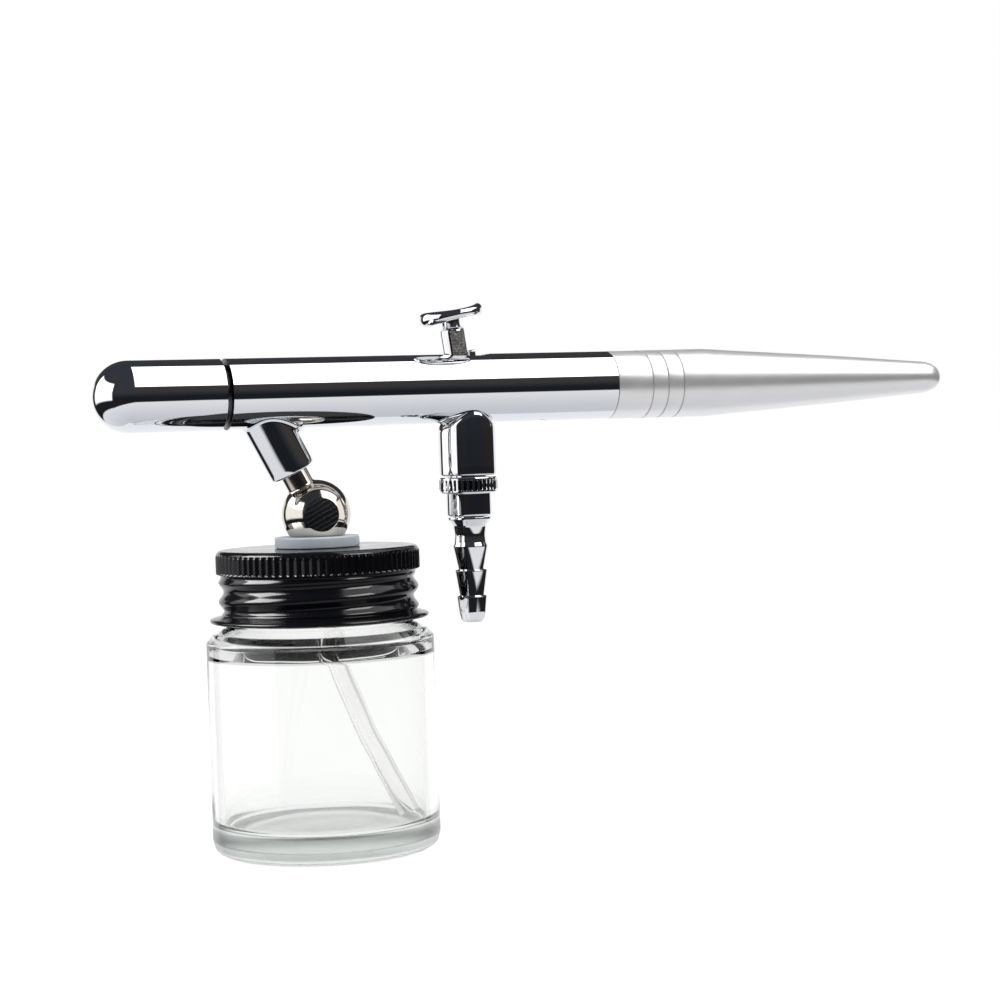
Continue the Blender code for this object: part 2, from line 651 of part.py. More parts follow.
def build_adaptor_nut():
    corners = [(4.62 * math.cos(math.pi * k / 3), 4.62 * math.sin(math.pi * k / 3)) for k in range(6)]
    nut = prism("adaptor_nut", corners, 46.4, 48.8, UPRIGHT, "nickel")
    cut(nut, rod("nut_hole", LOWER_STEM_R + GAP, 45, 50, UPRIGHT))
    return nut


def build_siphon_tube():
    return tube_along("siphon_tube", TUBE_PATH, TUBE_R, TUBE_BORE_R, 12, "clear plastic")


def build_jar():
    outside = [(0, 0), (0, 17.7), (0.45, 18.75), (1.5, JAR_R), (33.6, JAR_R), (35.2, 18.9), (36.5, 17.9), (37.3, 16.9),
               (37.8, 15.9), (38.1, NECK_R)]
    thread = [(42.6, NECK_R), (43.0, 15.65), (44.1, 15.65), (44.5, NECK_R)]
    mouth = [(NECK_TOP - 0.4, NECK_R), (NECK_TOP, NECK_R - 0.4), (NECK_TOP, MOUTH_R + 0.3), (NECK_TOP - 0.4, MOUTH_R)]
    inside = [(36.6, MOUTH_R), (35.6, 14.6), (34.4, 16.3), (32.8, 17.25), (7.4, 17.25), (5.8, 16.8), (4.9, 15.6),
              (JAR_FLOOR, 13.5), (JAR_FLOOR, 0)]
    jar = lathe("jar", outside + thread + mouth + inside, UPRIGHT, STEPS_BIG, "clear glass")
    return jar


BUILDERS = [
    build_protective_cap, build_barrel, build_cap_ring, build_nozzle_holder, build_head_seal, build_nozzle,
    build_nozzle_cap, build_needle_cap, build_needle, build_packing, build_packing_screw, build_needle_chuck,
    build_needle_spring, build_spring_case, build_chuck_nut, build_handle, build_trigger, build_trigger_lever,
    build_valve_casing, build_valve_plunger, build_valve_ring, build_valve_spring, build_valve_screw,
    build_hose_seal, build_hose_collar, build_hose_barb, build_fluid_socket, build_bottle_adaptor,
    build_lid_washer, build_lid, build_lid_liner, build_adaptor_nut, build_siphon_tube, build_jar,
]

clear_scene()
for builder in BUILDERS:
    builder()
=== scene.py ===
import json
import math

import bmesh
import bpy
import numpy as np
from mathutils import Matrix, Vector


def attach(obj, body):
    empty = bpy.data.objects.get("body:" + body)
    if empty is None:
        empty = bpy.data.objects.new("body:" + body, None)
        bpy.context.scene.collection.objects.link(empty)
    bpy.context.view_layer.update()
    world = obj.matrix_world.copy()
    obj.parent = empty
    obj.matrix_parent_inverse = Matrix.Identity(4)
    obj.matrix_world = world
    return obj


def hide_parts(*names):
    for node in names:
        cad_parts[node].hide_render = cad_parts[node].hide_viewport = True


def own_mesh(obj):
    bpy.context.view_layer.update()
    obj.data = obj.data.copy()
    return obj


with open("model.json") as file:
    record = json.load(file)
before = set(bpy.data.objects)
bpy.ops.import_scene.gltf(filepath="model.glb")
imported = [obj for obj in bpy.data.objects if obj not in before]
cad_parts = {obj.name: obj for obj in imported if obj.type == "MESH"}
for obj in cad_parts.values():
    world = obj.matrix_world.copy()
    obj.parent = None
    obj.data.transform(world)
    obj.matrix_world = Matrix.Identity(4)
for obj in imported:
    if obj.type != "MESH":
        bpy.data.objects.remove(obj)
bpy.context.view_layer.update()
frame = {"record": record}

# ---------------------------------------------------------------- layout, in millimetres, as the CAD has it
MM = 0.001
AXIS_Z = 77.45
GUN_R = 6.0
VALVE_X = 27.7
BALL_C = (0.0, 0.0, 56.8)
SOCKET_LEAN = math.radians(27.4)
TRIGGER_LEAN = math.radians(-7.7)
TRIGGER_PIVOT = (27.45, 0.0, 74.0)
TRIGGER_TWIST = math.radians(6.2)
LEVER_PIVOT = (30.58, 0.0, 72.5)
BALL_R = 5.87
SOCKET_R = 4.0
CASING_R = 5.0
NODE_BODY = {n: b for b, ns in frame["record"]["behaviour"]["bodies"].items() for n in ns}
NODE_SLOT = {s["node"]: s["material_slot"] for s in frame["record"]["subparts"]}


def frame_of(origin, axis, side):
    w = Vector(axis).normalized()
    u = Vector(side)
    u = (u - w * u.dot(w)).normalized()
    m = Matrix((u, w.cross(u), w)).transposed().to_4x4()
    m.translation = Vector(origin)
    return m


def put(name, data):
    """An object in the scene for a mesh, a lamp or a camera."""
    obj = bpy.data.objects.new(name, data)
    bpy.context.scene.collection.objects.link(obj)
    return obj


def smooth(obj, sharp):
    """Smooth shading that keeps edges above an angle in degrees sharp."""
    obj.data.shade_smooth()
    obj.data.set_sharp_from_angle(angle=math.radians(sharp))
    return obj


def paint(obj, *materials):
    """Gives an object its material slots, in order."""
    obj.data.materials.clear()
    for material in materials:
        obj.data.materials.append(material)
    return obj


SOCKET_AXIS = Vector((-math.sin(SOCKET_LEAN), 0.0, math.cos(SOCKET_LEAN)))
STEM_AXIS = Vector((math.sin(TRIGGER_LEAN), 0.0, math.cos(TRIGGER_LEAN)))
GUN = frame_of((0, 0, AXIS_Z), (1, 0, 0), (0, 0, 1))
UPRIGHT = frame_of((0, 0, 0), (0, 0, 1), (1, 0, 0))
VALVE = frame_of((VALVE_X, 0, 0), (0, 0, 1), (1, 0, 0))
SOCKET = frame_of(BALL_C, SOCKET_AXIS, (0, 1, 0))
TRIGGER = frame_of(TRIGGER_PIVOT, STEM_AXIS, (math.cos(TRIGGER_TWIST), math.sin(TRIGGER_TWIST), 0))
LEVER = frame_of(LEVER_PIVOT, STEM_AXIS, (1, 0, 0))


# ---------------------------------------------------------------- mesh making
def to_world(points, m):
    a = np.array(m)
    return (points @ a[:3, :3].T + a[:3, 3]) * MM


def soften(corners, steps=5):
    """Rounds a closed outline of (along, radius) or (along, radius, fillet) corners."""
    out, n = [], len(corners)
    for i, c in enumerate(corners):
        p = np.array(c[:2], float)
        rad = c[2] if len(c) > 2 else 0.0
        if rad <= 0:
            out.append(tuple(p))
            continue
        a = np.array(corners[i - 1][:2], float) - p
        b = np.array(corners[(i + 1) % n][:2], float) - p
        la, lb = np.linalg.norm(a), np.linalg.norm(b)
        a, b = a / la, b / lb
        half = math.acos(max(-1.0, min(1.0, float(a @ b)))) / 2
        if half > 1.55:
            out.append(tuple(p))
            continue
        cut = min(rad / math.tan(half), 0.49 * la, 0.49 * lb)
        rad = cut * math.tan(half)
        centre = p + (a + b) / np.linalg.norm(a + b) * rad / math.sin(half)
        s, e = p + a * cut - centre, p + b * cut - centre
        turn = math.atan2(s[0] * e[1] - s[1] * e[0], float(s @ e))
        for k in range(steps + 1):
            t = turn * k / steps
            cos, sin = math.cos(t), math.sin(t)
            out.append((centre[0] + s[0] * cos - s[1] * sin, centre[1] + s[0] * sin + s[1] * cos))
    return out


def arc(centre, radius, first, last, count):
    out = []
    for k in range(count + 1):
        a = math.radians(first + (last - first) * k / count)
        out.append((centre[0] + radius * math.cos(a), centre[1] + radius * math.sin(a)))
    return out


def mesh_from(name, verts, faces, sharp=30.0):
    mesh = bpy.data.meshes.new(name)
    mesh.from_pydata([tuple(v) for v in verts], [], faces)
    mesh.update()
    bm = bmesh.new()
    bm.from_mesh(mesh)
    bmesh.ops.recalc_face_normals(bm, faces=bm.faces)
    bm.to_mesh(mesh)
    bm.free()
    return smooth(put(name, mesh), sharp)


def grid_faces(rows, steps, closed, start=0):
    """Quads between successive rows of a grid whose columns go all the way round."""
    faces = []
    for i in range(rows if closed else rows - 1):
        a, b = start + i * steps, start + ((i + 1) % rows) * steps
        for k in range(steps):
            n = (k + 1) % steps
            faces.append((a + k, a + n, b + n, b + k))
    return faces


def lathe_parts(profile, steps, shape=None):
    """Local vertices and faces of a closed outline turned about Z.
    shape(along, radius, angle) may move a ring's points."""
    verts, index, faces = [], [], []
    angles = np.arange(steps) * 2 * math.pi / steps
    cos, sin = np.cos(angles), np.sin(angles)
    for along, radius in profile:
        if radius < 1e-6:
            index.append((len(verts), 1))
            verts.append((0.0, 0.0, along))
            continue
        r = np.full(steps, radius)
        z = np.full(steps, along)
        if shape:
            z, r = shape(z, r, angles)
        index.append((len(verts), steps))
        verts.extend(zip(r * cos, r * sin, z))
    for i, (s0, n0) in enumerate(index):
        s1, n1 = index[(i + 1) % len(index)]
        if n0 == 1 and n1 == 1:
            continue
        for k in range(steps):
            n = (k + 1) % steps
            if n0 == 1:
                faces.append((s0, s1 + n, s1 + k))
            elif n1 == 1:
                faces.append((s0 + k, s0 + n, s1))
            else:
                faces.append((s0 + k, s0 + n, s1 + n, s1 + k))
    return np.array(verts, float), faces


def lathe(name, profile, m, steps=128, shape=None, sharp=30.0, bend=None):
    verts, faces = lathe_parts(profile, steps, shape)
    if bend:
        verts = bend(verts)
    return mesh_from(name, to_world(verts, m), faces, sharp)


def join_meshes(name, *objs):
    """One object that holds the shells of several."""
    bm = bmesh.new()
    slots = []
    for o in objs:
        before = len(bm.faces)
        bm.from_mesh(o.data)
        bm.faces.ensure_lookup_table()
        for f in bm.faces[before:]:
            own = o.data.materials[f.material_index] if o.data.materials else None
            if own not in slots:
                slots.append(own)
            f.material_index = slots.index(own)
    mesh = bpy.data.meshes.new(name)
    bm.to_mesh(mesh)
    bm.free()
    for s in slots:
        if s:
            mesh.materials.append(s)
    for o in objs:
        bpy.data.objects.remove(o, do_unlink=True)
    return put(name, mesh)


def apply_modifiers(obj):
    bpy.context.view_layer.update()
    result = bpy.data.meshes.new_from_object(obj.evaluated_get(bpy.context.evaluated_depsgraph_get()))
    obj.modifiers.clear()
    obj.data = result


def boolean(obj, other, operation="DIFFERENCE"):
    mod = obj.modifiers.new("b", "BOOLEAN")
    mod.object = other
    mod.operation = operation
    mod.solver = "EXACT"
    apply_modifiers(obj)
    bpy.data.objects.remove(other, do_unlink=True)


def prism(name, outline, low, high, m):
    """A straight block with an outline of (x, y) in the frame's XY plane."""
    n = len(outline)
    verts = np.array([(x, y, low) for x, y in outline] + [(x, y, high) for x, y in outline], float)
    faces = [tuple(range(n)), tuple(range(2 * n - 1, n - 1, -1))]
    faces += [(k, k + n, (k + 1) % n + n, (k + 1) % n) for k in range(n)]
    return mesh_from(name, to_world(verts, m), faces)


def slot_outline(low, high, half, steps=12):
    """A slot with round ends, along x from low to high."""
    quarter = math.pi / 2
    outline = []
    for centre, first, last in ((high - half, -quarter, quarter), (low + half, quarter, 3 * quarter)):
        for a in np.linspace(first, last, steps + 1):
            outline.append((centre + half * math.cos(a), half * math.sin(a)))
    return outline


def bevel(obj, width, segments=3, angle=30):
    mod = obj.modifiers.new("bevel", "BEVEL")
    mod.width = width * MM
    mod.segments = segments
    mod.limit_method = "ANGLE"
    mod.angle_limit = math.radians(angle)
    apply_modifiers(obj)
    smooth(obj, 35)


def true_normals(obj, rule, sharp=30.0):
    """Gives the corners of exact surfaces their exact normals.
    rule(centre, normal, point), in mm, returns a normal or None."""
    mesh = obj.data
    mesh.shade_smooth()
    mesh.set_sharp_from_angle(angle=math.radians(sharp))
    mesh.update()
    normals = [tuple(c.vector) for c in mesh.corner_normals]
    for poly in mesh.polygons:
        centre, normal = np.array(poly.center) / MM, np.array(poly.normal)
        for i in poly.loop_indices:
            p = np.array(mesh.vertices[mesh.loops[i].vertex_index].co) / MM
            found = rule(centre, normal, p)
            if found is not None:
                normals[i] = tuple(found / np.linalg.norm(found))
    mesh.normals_split_custom_set(normals)


def tube_start(m, rows_below, steps):
    """A frame's axis and origin, its outward directions, and the first rings of a tube about it."""
    axis, e1, e2 = (np.array(m.to_3x3().col[k]) for k in (2, 0, 1))
    origin = np.array(m.translation)
    outs = [e1 * math.cos(a) + e2 * math.sin(a) for a in np.arange(steps) * 2 * math.pi / steps]
    rows = [np.array([origin + axis * along + r * out for out in outs]) for along, r in rows_below]
    return axis, origin, outs, rows


def tube_end(name, rows):
    """The tube through all its rings, closed at both ends."""
    steps = len(rows[0])
    faces = grid_faces(len(rows), steps, False)
    faces.append(tuple(range(steps)))
    faces.append(tuple(range((len(rows) - 1) * steps, len(rows) * steps)))
    return mesh_from(name, np.concatenate(rows) * MM, faces)


def saddle_tube(name, m, radius, rows_below, fillet, steps=144, arc_steps=14):
    """A tube that runs up into the barrel's underside, with a rolled fillet round the joint.
    rows_below is an open outline of (along, radius) that ends on the tube's outside, below the fillet."""
    axis, origin, outs, rows = tube_start(m, rows_below, steps)
    arcs = [np.zeros((steps, 3)) for _ in range(arc_steps + 1)]
    sunk = np.zeros((steps, 3))
    for k, out in enumerate(outs):
        base = origin + (radius + fillet) * out
        reach = math.sqrt((GUN_R + fillet) ** 2 - base[1] ** 2)
        t = (AXIS_Z - reach - base[2]) / axis[2]
        c = base + axis * t
        n_tube = -out
        n_gun = -np.array((0.0, c[1], c[2] - AXIS_Z)) / (GUN_R + fillet)
        span = math.acos(max(-1.0, min(1.0, float(n_tube @ n_gun))))
        for j in range(arc_steps + 1):
            s = j / arc_steps
            d = (math.sin((1 - s) * span) * n_tube + math.sin(s * span) * n_gun) / math.sin(span)
            arcs[j][k] = c + fillet * d
        sunk[k] = c + (fillet + 0.5) * n_gun
    return tube_end(name, rows + arcs + [sunk])


def shouldered_tube(name, m, radius, rows_below, shoulder, steps=144):
    """A tube that runs up to the barrel's underside and turns in with a rounded shoulder just before it."""
    axis, origin, outs, rows = tube_start(m, rows_below, steps)
    upper = [(-shoulder - 0.55, radius)]
    for k in range(1, 11):
        t = math.radians(80 * k / 10)
        upper.append((-shoulder - 0.35 + shoulder * math.sin(t), radius - shoulder * (1 - math.cos(t))))
    upper += [(0.0, radius - shoulder), (0.5, radius - shoulder)]
    for lift, r in upper:
        ring = []
        for out in outs:
            base = origin + radius * out
            top = (AXIS_Z - math.sqrt(GUN_R**2 - base[1] ** 2) - base[2]) / axis[2]
            ring.append(origin + r * out + axis * (top + lift))
        rows.append(np.array(ring))
    return tube_end(name, rows)


def sweep(name, points, outer, inner, sides, m=None):
    """A tube along a list of points: hollow, or solid with closed ends where inner is 0."""
    pts = np.array(points, float)
    rows = []
    side = np.array((0.0, 1.0, 0.0))
    for i in range(len(pts)):
        d = pts[min(i + 1, len(pts) - 1)] - pts[max(i - 1, 0)]
        d /= np.linalg.norm(d)
        side = side - d * float(side @ d)
        side /= np.linalg.norm(side)
        rows.append((pts[i], side.copy(), np.cross(d, side)))
    angles = np.arange(sides) * 2 * math.pi / sides

    def rings(r):
        return [np.array([p + r * (u * math.cos(a) + v * math.sin(a)) for a in angles]) for p, u, v in rows]

    n = len(rows)
    if inner > 0:
        verts = np.concatenate(rings(outer) + rings(inner)[::-1])
        faces = grid_faces(2 * n, sides, True)
    else:
        verts = np.concatenate(rings(outer))
        faces = grid_faces(n, sides, False)
        faces += [tuple(range(sides)), tuple(range((n - 1) * sides, n * sides))]
    return mesh_from(name, verts * MM if m is None else to_world(verts, m), faces, 40.0)


def coil(name, m, low, high, radius, wire, turns, steps=28, sides=12):
    """A spring of round wire with even turns."""
    count = int(turns * steps)
    points = []
    for i in range(count + 1):
        t = i / count
        a = 2 * math.pi * turns * t
        height = low + wire + (high - low - 2 * wire) * t
        points.append((radius * math.cos(a), radius * math.sin(a), height))
    return sweep(name, points, wire, 0, sides, m)


def smooth_path(points, count):
    """Catmull-Rom through the points."""
    p = np.array(points, float)
    p = np.vstack([2 * p[0] - p[1], p, 2 * p[-1] - p[-2]])
    out = []
    for i in range(len(p) - 3):
        a, b, c, d = p[i : i + 4]
        for k in range(count):
            t = k / count
            curve = 2 * b + (c - a) * t + (2 * a - 5 * b + 4 * c - d) * t**2 + (3 * b - a - 3 * c + d) * t**3
            out.append(0.5 * curve)
    out.append(p[-2])
    return np.array(out)


# ---------------------------------------------------------------- materials
def new_material(name):
    mat = bpy.data.materials.new(name)
    mat.use_nodes = True
    tree = mat.node_tree
    tree.nodes.clear()
    out = tree.nodes.new("ShaderNodeOutputMaterial")
    shader = tree.nodes.new("ShaderNodeBsdfPrincipled")
    tree.links.new(shader.outputs[0], out.inputs["Surface"])
    return mat, tree, shader, out


def coords(tree, scale=(1, 1, 1), rotation=(0, 0, 0)):
    tc = tree.nodes.new("ShaderNodeTexCoord")
    mp = tree.nodes.new("ShaderNodeMapping")
    mp.inputs["Scale"].default_value = scale
    mp.inputs["Rotation"].default_value = rotation
    tree.links.new(tc.outputs["Object"], mp.inputs["Vector"])
    return mp.outputs[0]


def noise(tree, vector, scale, detail=3.0, rough=0.5, distortion=0.0):
    n = tree.nodes.new("ShaderNodeTexNoise")
    n.inputs["Scale"].default_value = scale
    n.inputs["Detail"].default_value = detail
    n.inputs["Roughness"].default_value = rough
    n.inputs["Distortion"].default_value = distortion
    tree.links.new(vector, n.inputs["Vector"])
    return n.outputs["Fac"]


def remap(tree, value, a, b, lo, hi, kind="LINEAR"):
    m = tree.nodes.new("ShaderNodeMapRange")
    m.interpolation_type = kind
    m.inputs["From Min"].default_value = a
    m.inputs["From Max"].default_value = b
    m.inputs["To Min"].default_value = lo
    m.inputs["To Max"].default_value = hi
    tree.links.new(value, m.inputs["Value"])
    return m.outputs[0]


def math_node(tree, op, a, b=None):
    n = tree.nodes.new("ShaderNodeMath")
    n.operation = op
    for k, v in enumerate((a, b)):
        if v is None:
            continue
        if isinstance(v, (int, float)):
            n.inputs[k].default_value = v
        else:
            tree.links.new(v, n.inputs[k])
    return n.outputs[0]


def blend_colour(tree, fac, a, b):
    """A mix of two colours, each of them a tuple or another node's output."""
    n = tree.nodes.new("ShaderNodeMix")
    n.data_type = "RGBA"
    tree.links.new(fac, n.inputs["Factor"])
    for socket, value in (("A", a), ("B", b)):
        if isinstance(value, tuple):
            n.inputs[socket].default_value = (*value, 1)
        else:
            tree.links.new(value, n.inputs[socket])
    return n.outputs["Result"]


def bump(tree, height, strength, distance, previous=None):
    n = tree.nodes.new("ShaderNodeBump")
    n.inputs["Strength"].default_value = strength
    n.inputs["Distance"].default_value = distance
    tree.links.new(height, n.inputs["Height"])
    if previous is not None:
        tree.links.new(previous, n.inputs["Normal"])
    return n.outputs[0]


def feed(shader, socket, value):
    """Links a node's output to one of the shader's sockets."""
    shader.id_data.links.new(value, shader.inputs[socket])


def drift(tree, value, a, b, low=0.3, high=0.7):
    """A colour that drifts from a to b as the value goes from low to high."""
    return blend_colour(tree, remap(tree, value, low, high, 0, 1), a, b)


def mottle(tree, vector, scale, low, high):
    """A number that drifts between low and high over the surface."""
    return remap(tree, noise(tree, vector, scale, 4.0, 0.6), 0.3, 0.7, low, high)


def metal(name, colour, dark, rough, spread, scratch=0.12, grain=None, grain_bump=0.0):
    """Metal with soft smudges, fine hairline scratches and, where asked for, turned grain."""
    smudge = 35.0
    mat, tree, shader, _ = new_material(name)
    obj = coords(tree)
    feed(shader, "Base Color", drift(tree, noise(tree, obj, smudge, 4.0, 0.55), colour, dark, 0.35, 0.65))
    shader.inputs["Metallic"].default_value = 1.0
    hair = noise(tree, coords(tree, (60, 900, 900), (0.3, 0.5, 0.2)), 1.0, 2.0, 0.6)
    lines = remap(tree, hair, 0.62, 0.70, 0.0, 1.0)
    base = remap(tree, noise(tree, obj, smudge * 2.3, 5.0, 0.6, 0.4), 0.3, 0.7, rough, rough + spread)
    feed(shader, "Roughness", math_node(tree, "ADD", base, math_node(tree, "MULTIPLY", lines, scratch * 0.5)))
    normal = bump(tree, hair, scratch, 0.00001)
    if grain:
        normal = bump(tree, noise(tree, coords(tree, grain), 1.0, 3.0, 0.7), grain_bump, 0.00004, normal)
    feed(shader, "Normal", normal)
    return mat


def make_satin():
    mat, tree, shader, _ = new_material("satin_aluminium")
    obj = coords(tree)
    shader.inputs["Metallic"].default_value = 0.74
    cloud = noise(tree, obj, 60.0, 4.0, 0.5)
    feed(shader, "Base Color", drift(tree, cloud, (0.765, 0.763, 0.757), (0.725, 0.724, 0.722)))
    blast = noise(tree, obj, 9000.0, 2.0, 0.6)
    turned = noise(tree, coords(tree, (7000, 12, 12)), 1.0, 2.0, 0.6)
    feed(shader, "Roughness", mottle(tree, obj, 300.0, 0.29, 0.36))
    first = bump(tree, turned, 0.10, 0.00002)
    feed(shader, "Normal", bump(tree, blast, 0.14, 0.00002, first))
    return mat


def make_milled():
    """The flat on the ball: bright steel with cutter lines."""
    mat, tree, shader, _ = new_material("milled_flat")
    shader.inputs["Metallic"].default_value = 1.0
    wave = tree.nodes.new("ShaderNodeTexWave")
    wave.wave_type = "BANDS"
    wave.bands_direction = "Z"
    wave.inputs["Scale"].default_value = 420.0
    wave.inputs["Distortion"].default_value = 1.6
    wave.inputs["Detail"].default_value = 3.0
    wave.inputs["Detail Scale"].default_value = 2.0
    tree.links.new(coords(tree, (1, 1, 1), (0, math.radians(28), 0)), wave.inputs["Vector"])
    lines = wave.outputs["Fac"]
    feed(shader, "Base Color", drift(tree, lines, (0.40, 0.38, 0.36), (0.62, 0.60, 0.57), 0.2, 0.9))
    feed(shader, "Roughness", remap(tree, lines, 0, 1, 0.10, 0.22))
    feed(shader, "Normal", bump(tree, lines, 0.25, 0.00002))
    return mat


def make_rough_milled():
    """The trigger stem's flats, with file marks and small pits."""
    mat, tree, shader, _ = new_material("file_marked_steel")
    shader.inputs["Metallic"].default_value = 1.0
    rows = noise(tree, coords(tree, (600, 600, 3200)), 1.0, 3.0, 0.65)
    pits = noise(tree, coords(tree), 2600.0, 3.0, 0.6)
    both = math_node(tree, "ADD", rows, math_node(tree, "MULTIPLY", pits, 0.7))
    feed(shader, "Base Color", drift(tree, both, (0.30, 0.29, 0.28), (0.66, 0.65, 0.62), 0.6, 1.1))
    feed(shader, "Roughness", remap(tree, pits, 0.3, 0.7, 0.28, 0.5))
    feed(shader, "Normal", bump(tree, both, 0.6, 0.00008))
    return mat


def make_black():
    mat, tree, shader, _ = new_material("gloss_black_enamel")
    obj = coords(tree)
    cloud = noise(tree, obj, 120.0, 4.0, 0.6)
    dust = remap(tree, noise(tree, obj, 2600.0, 2.0, 0.7), 0.70, 0.78, 0.0, 1.0)
    enamel = drift(tree, cloud, (0.0010, 0.0011, 0.0015), (0.0018, 0.0018, 0.0024))
    feed(shader, "Base Color", blend_colour(tree, dust, enamel, (0.012, 0.012, 0.013)))
    shader.inputs["Specular IOR Level"].default_value = 0.18
    feed(shader, "Roughness", mottle(tree, obj, 260.0, 0.10, 0.18))
    shader.inputs["Coat Weight"].default_value = 0.1
    shader.inputs["Coat Roughness"].default_value = 0.05
    feed(shader, "Normal", bump(tree, noise(tree, obj, 900.0, 2.0, 0.5), 0.06, 0.0001))
    return mat


def make_glass():
    """Clear walls on a stippled foot, whose whiter tint is painted light that brightens the thick base."""
    mat, tree, shader, out = new_material("jar_glass")
    obj = coords(tree)
    shader.inputs["Transmission Weight"].default_value = 1.0
    shader.inputs["IOR"].default_value = 1.5
    split = tree.nodes.new("ShaderNodeSeparateXYZ")
    tree.links.new(tree.nodes.new("ShaderNodeTexCoord").outputs["Object"], split.inputs[0])
    foot_top, foot_full = 0.0052, 0.0044
    # the foot's near-white tint against the greyer walls is painted light on the base
    foot = remap(tree, split.outputs["Z"], foot_top, foot_full, 0.0, 1.0)
    wall = drift(tree, noise(tree, obj, 70.0, 3.0, 0.5), (0.938, 0.941, 0.936), (0.925, 0.929, 0.924))
    feed(shader, "Base Color", blend_colour(tree, foot, wall, (0.995, 1.0, 0.997)))
    stipple = remap(tree, split.outputs["Z"], foot_top, foot_full, 0.0, 0.27)
    clear = remap(tree, noise(tree, obj, 300.0, 4.0, 0.6), 0.45, 0.75, 0.0, 0.02)
    feed(shader, "Roughness", math_node(tree, "MAXIMUM", clear, stipple))
    wavy = noise(tree, coords(tree, (1, 1, 0.35)), 110.0, 2.0, 0.4)
    feed(shader, "Normal", bump(tree, wavy, 0.05, 0.0012))
    absorb = tree.nodes.new("ShaderNodeVolumeAbsorption")
    absorb.inputs["Color"].default_value = (0.62, 0.86, 0.70, 1)
    absorb.inputs["Density"].default_value = 5.0
    tree.links.new(absorb.outputs[0], out.inputs["Volume"])
    return mat


def make_clear_tube():
    """Clear plastic whose colour darkens towards its edges: painted shade for the tube's outlines."""
    mat, tree, shader, _ = new_material("clear_siphon_plastic")
    obj = coords(tree)
    facing = tree.nodes.new("ShaderNodeLayerWeight")
    facing.inputs["Blend"].default_value = 0.5
    body = drift(tree, noise(tree, obj, 220.0, 4.0, 0.6), (0.985, 0.982, 0.975), (0.96, 0.958, 0.95))
    # darker colour where the surface turns away from the view: painted shade
    feed(shader, "Base Color", drift(tree, facing.outputs["Facing"], body, (0.60, 0.59, 0.56), 0.55, 0.95))
    shader.inputs["Transmission Weight"].default_value = 1.0
    shader.inputs["IOR"].default_value = 1.36
    feed(shader, "Roughness", mottle(tree, obj, 500.0, 0.01, 0.04))
    feed(shader, "Normal", bump(tree, noise(tree, coords(tree, (1, 1, 0.3)), 400.0, 2.0, 0.5), 0.1, 0.0003))
    return mat


def make_nylon():
    mat, tree, shader, _ = new_material("translucent_nylon")
    obj = coords(tree)
    cloud = noise(tree, obj, 260.0, 4.0, 0.6)
    feed(shader, "Base Color", drift(tree, cloud, (0.47, 0.51, 0.545), (0.41, 0.45, 0.485)))
    shader.inputs["Subsurface Weight"].default_value = 0.35
    shader.inputs["Subsurface Radius"].default_value = (0.001, 0.0012, 0.0014)
    shader.inputs["Subsurface Scale"].default_value = 1.0
    feed(shader, "Roughness", mottle(tree, obj, 700.0, 0.32, 0.5))
    turned = noise(tree, coords(tree, (30, 30, 5200)), 1.0, 2.0, 0.5)
    feed(shader, "Normal", bump(tree, turned, 0.15, 0.00004))
    return mat


def plain(name, light, dark, rough_low, rough_high, scale, strength):
    """Rubber or plastic with fine mottling."""
    mat, tree, shader, _ = new_material(name)
    obj = coords(tree)
    feed(shader, "Base Color", drift(tree, noise(tree, obj, scale * 0.3, 4.0, 0.6), light, dark))
    feed(shader, "Roughness", mottle(tree, obj, scale, rough_low, rough_high))
    feed(shader, "Normal", bump(tree, noise(tree, obj, scale * 2, 3.0, 0.6), strength, 0.0001))
    return mat


MATERIALS = {
    "chrome": metal("polished_chrome", (0.80, 0.805, 0.82), (0.77, 0.78, 0.80), 0.022, 0.03, 0.05),
    "nickel": metal("bright_nickel", (0.70, 0.655, 0.585), (0.63, 0.585, 0.515), 0.06, 0.05, 0.08),
    "satin_aluminium": make_satin(),
    "stainless": metal(
        "ground_stainless", (0.60, 0.60, 0.60), (0.52, 0.52, 0.52), 0.12, 0.08, 0.15, (4000, 20, 20), 0.12
    ),
    "brass": metal("turned_brass", (0.80, 0.60, 0.28), (0.70, 0.51, 0.22), 0.14, 0.10, 0.15, (5000, 20, 20), 0.2),
    "black_lacquer": make_black(),
    "jar_glass": make_glass(),
    "nylon": make_nylon(),
    "seal_rubber": plain("seal_rubber", (0.018, 0.018, 0.019), (0.03, 0.03, 0.03), 0.45, 0.65, 900.0, 0.2),
    "white_ptfe": plain("white_ptfe", (0.78, 0.78, 0.76), (0.70, 0.70, 0.68), 0.35, 0.5, 700.0, 0.12),
    "clear_tube": make_clear_tube(),
}
MILLED = make_milled()
FILED = make_rough_milled()
# dark steel that paints shade into the cap and barrel seam and into the collar's slot bottoms
SHADED = metal("painted_shade_steel", (0.10, 0.10, 0.11), (0.05, 0.05, 0.06), 0.22, 0.2, 0.2)


def place(obj, node):
    """Puts a finished piece on its CAD node's body, in the node's finish, in place of the node."""
    if not obj.data.materials:
        obj.data.materials.append(MATERIALS[NODE_SLOT[node]])
    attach(obj, NODE_BODY[node])
    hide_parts(node)


def radial_rule(surfaces):
    """A rule for true_normals from (point, axis, radius) cylinders and (centre, radius) balls."""

    def rule(centre, normal, p):
        for s in surfaces:
            if len(s) == 3:
                o, a, r = np.array(s[0], float), np.array(s[1], float), s[2]
                d = p - o
                d = d - a * float(d @ a)
                q = centre - o
                q = q - a * float(q @ a)
            else:
                o, r = np.array(s[0], float), s[1]
                d, q = p - o, centre - o
            length = np.linalg.norm(d)
            if abs(length - r) < 0.02 and abs(float(q @ normal)) > 0.9 * np.linalg.norm(q):
                return d if float(q @ normal) > 0 else -d
        return None

    return rule


def turned(node, corners, m, steps, **more):
    """A softened outline turned about a frame, and the node that it replaces."""
    return lathe(node + "_detail", soften(corners), m, steps, **more), node


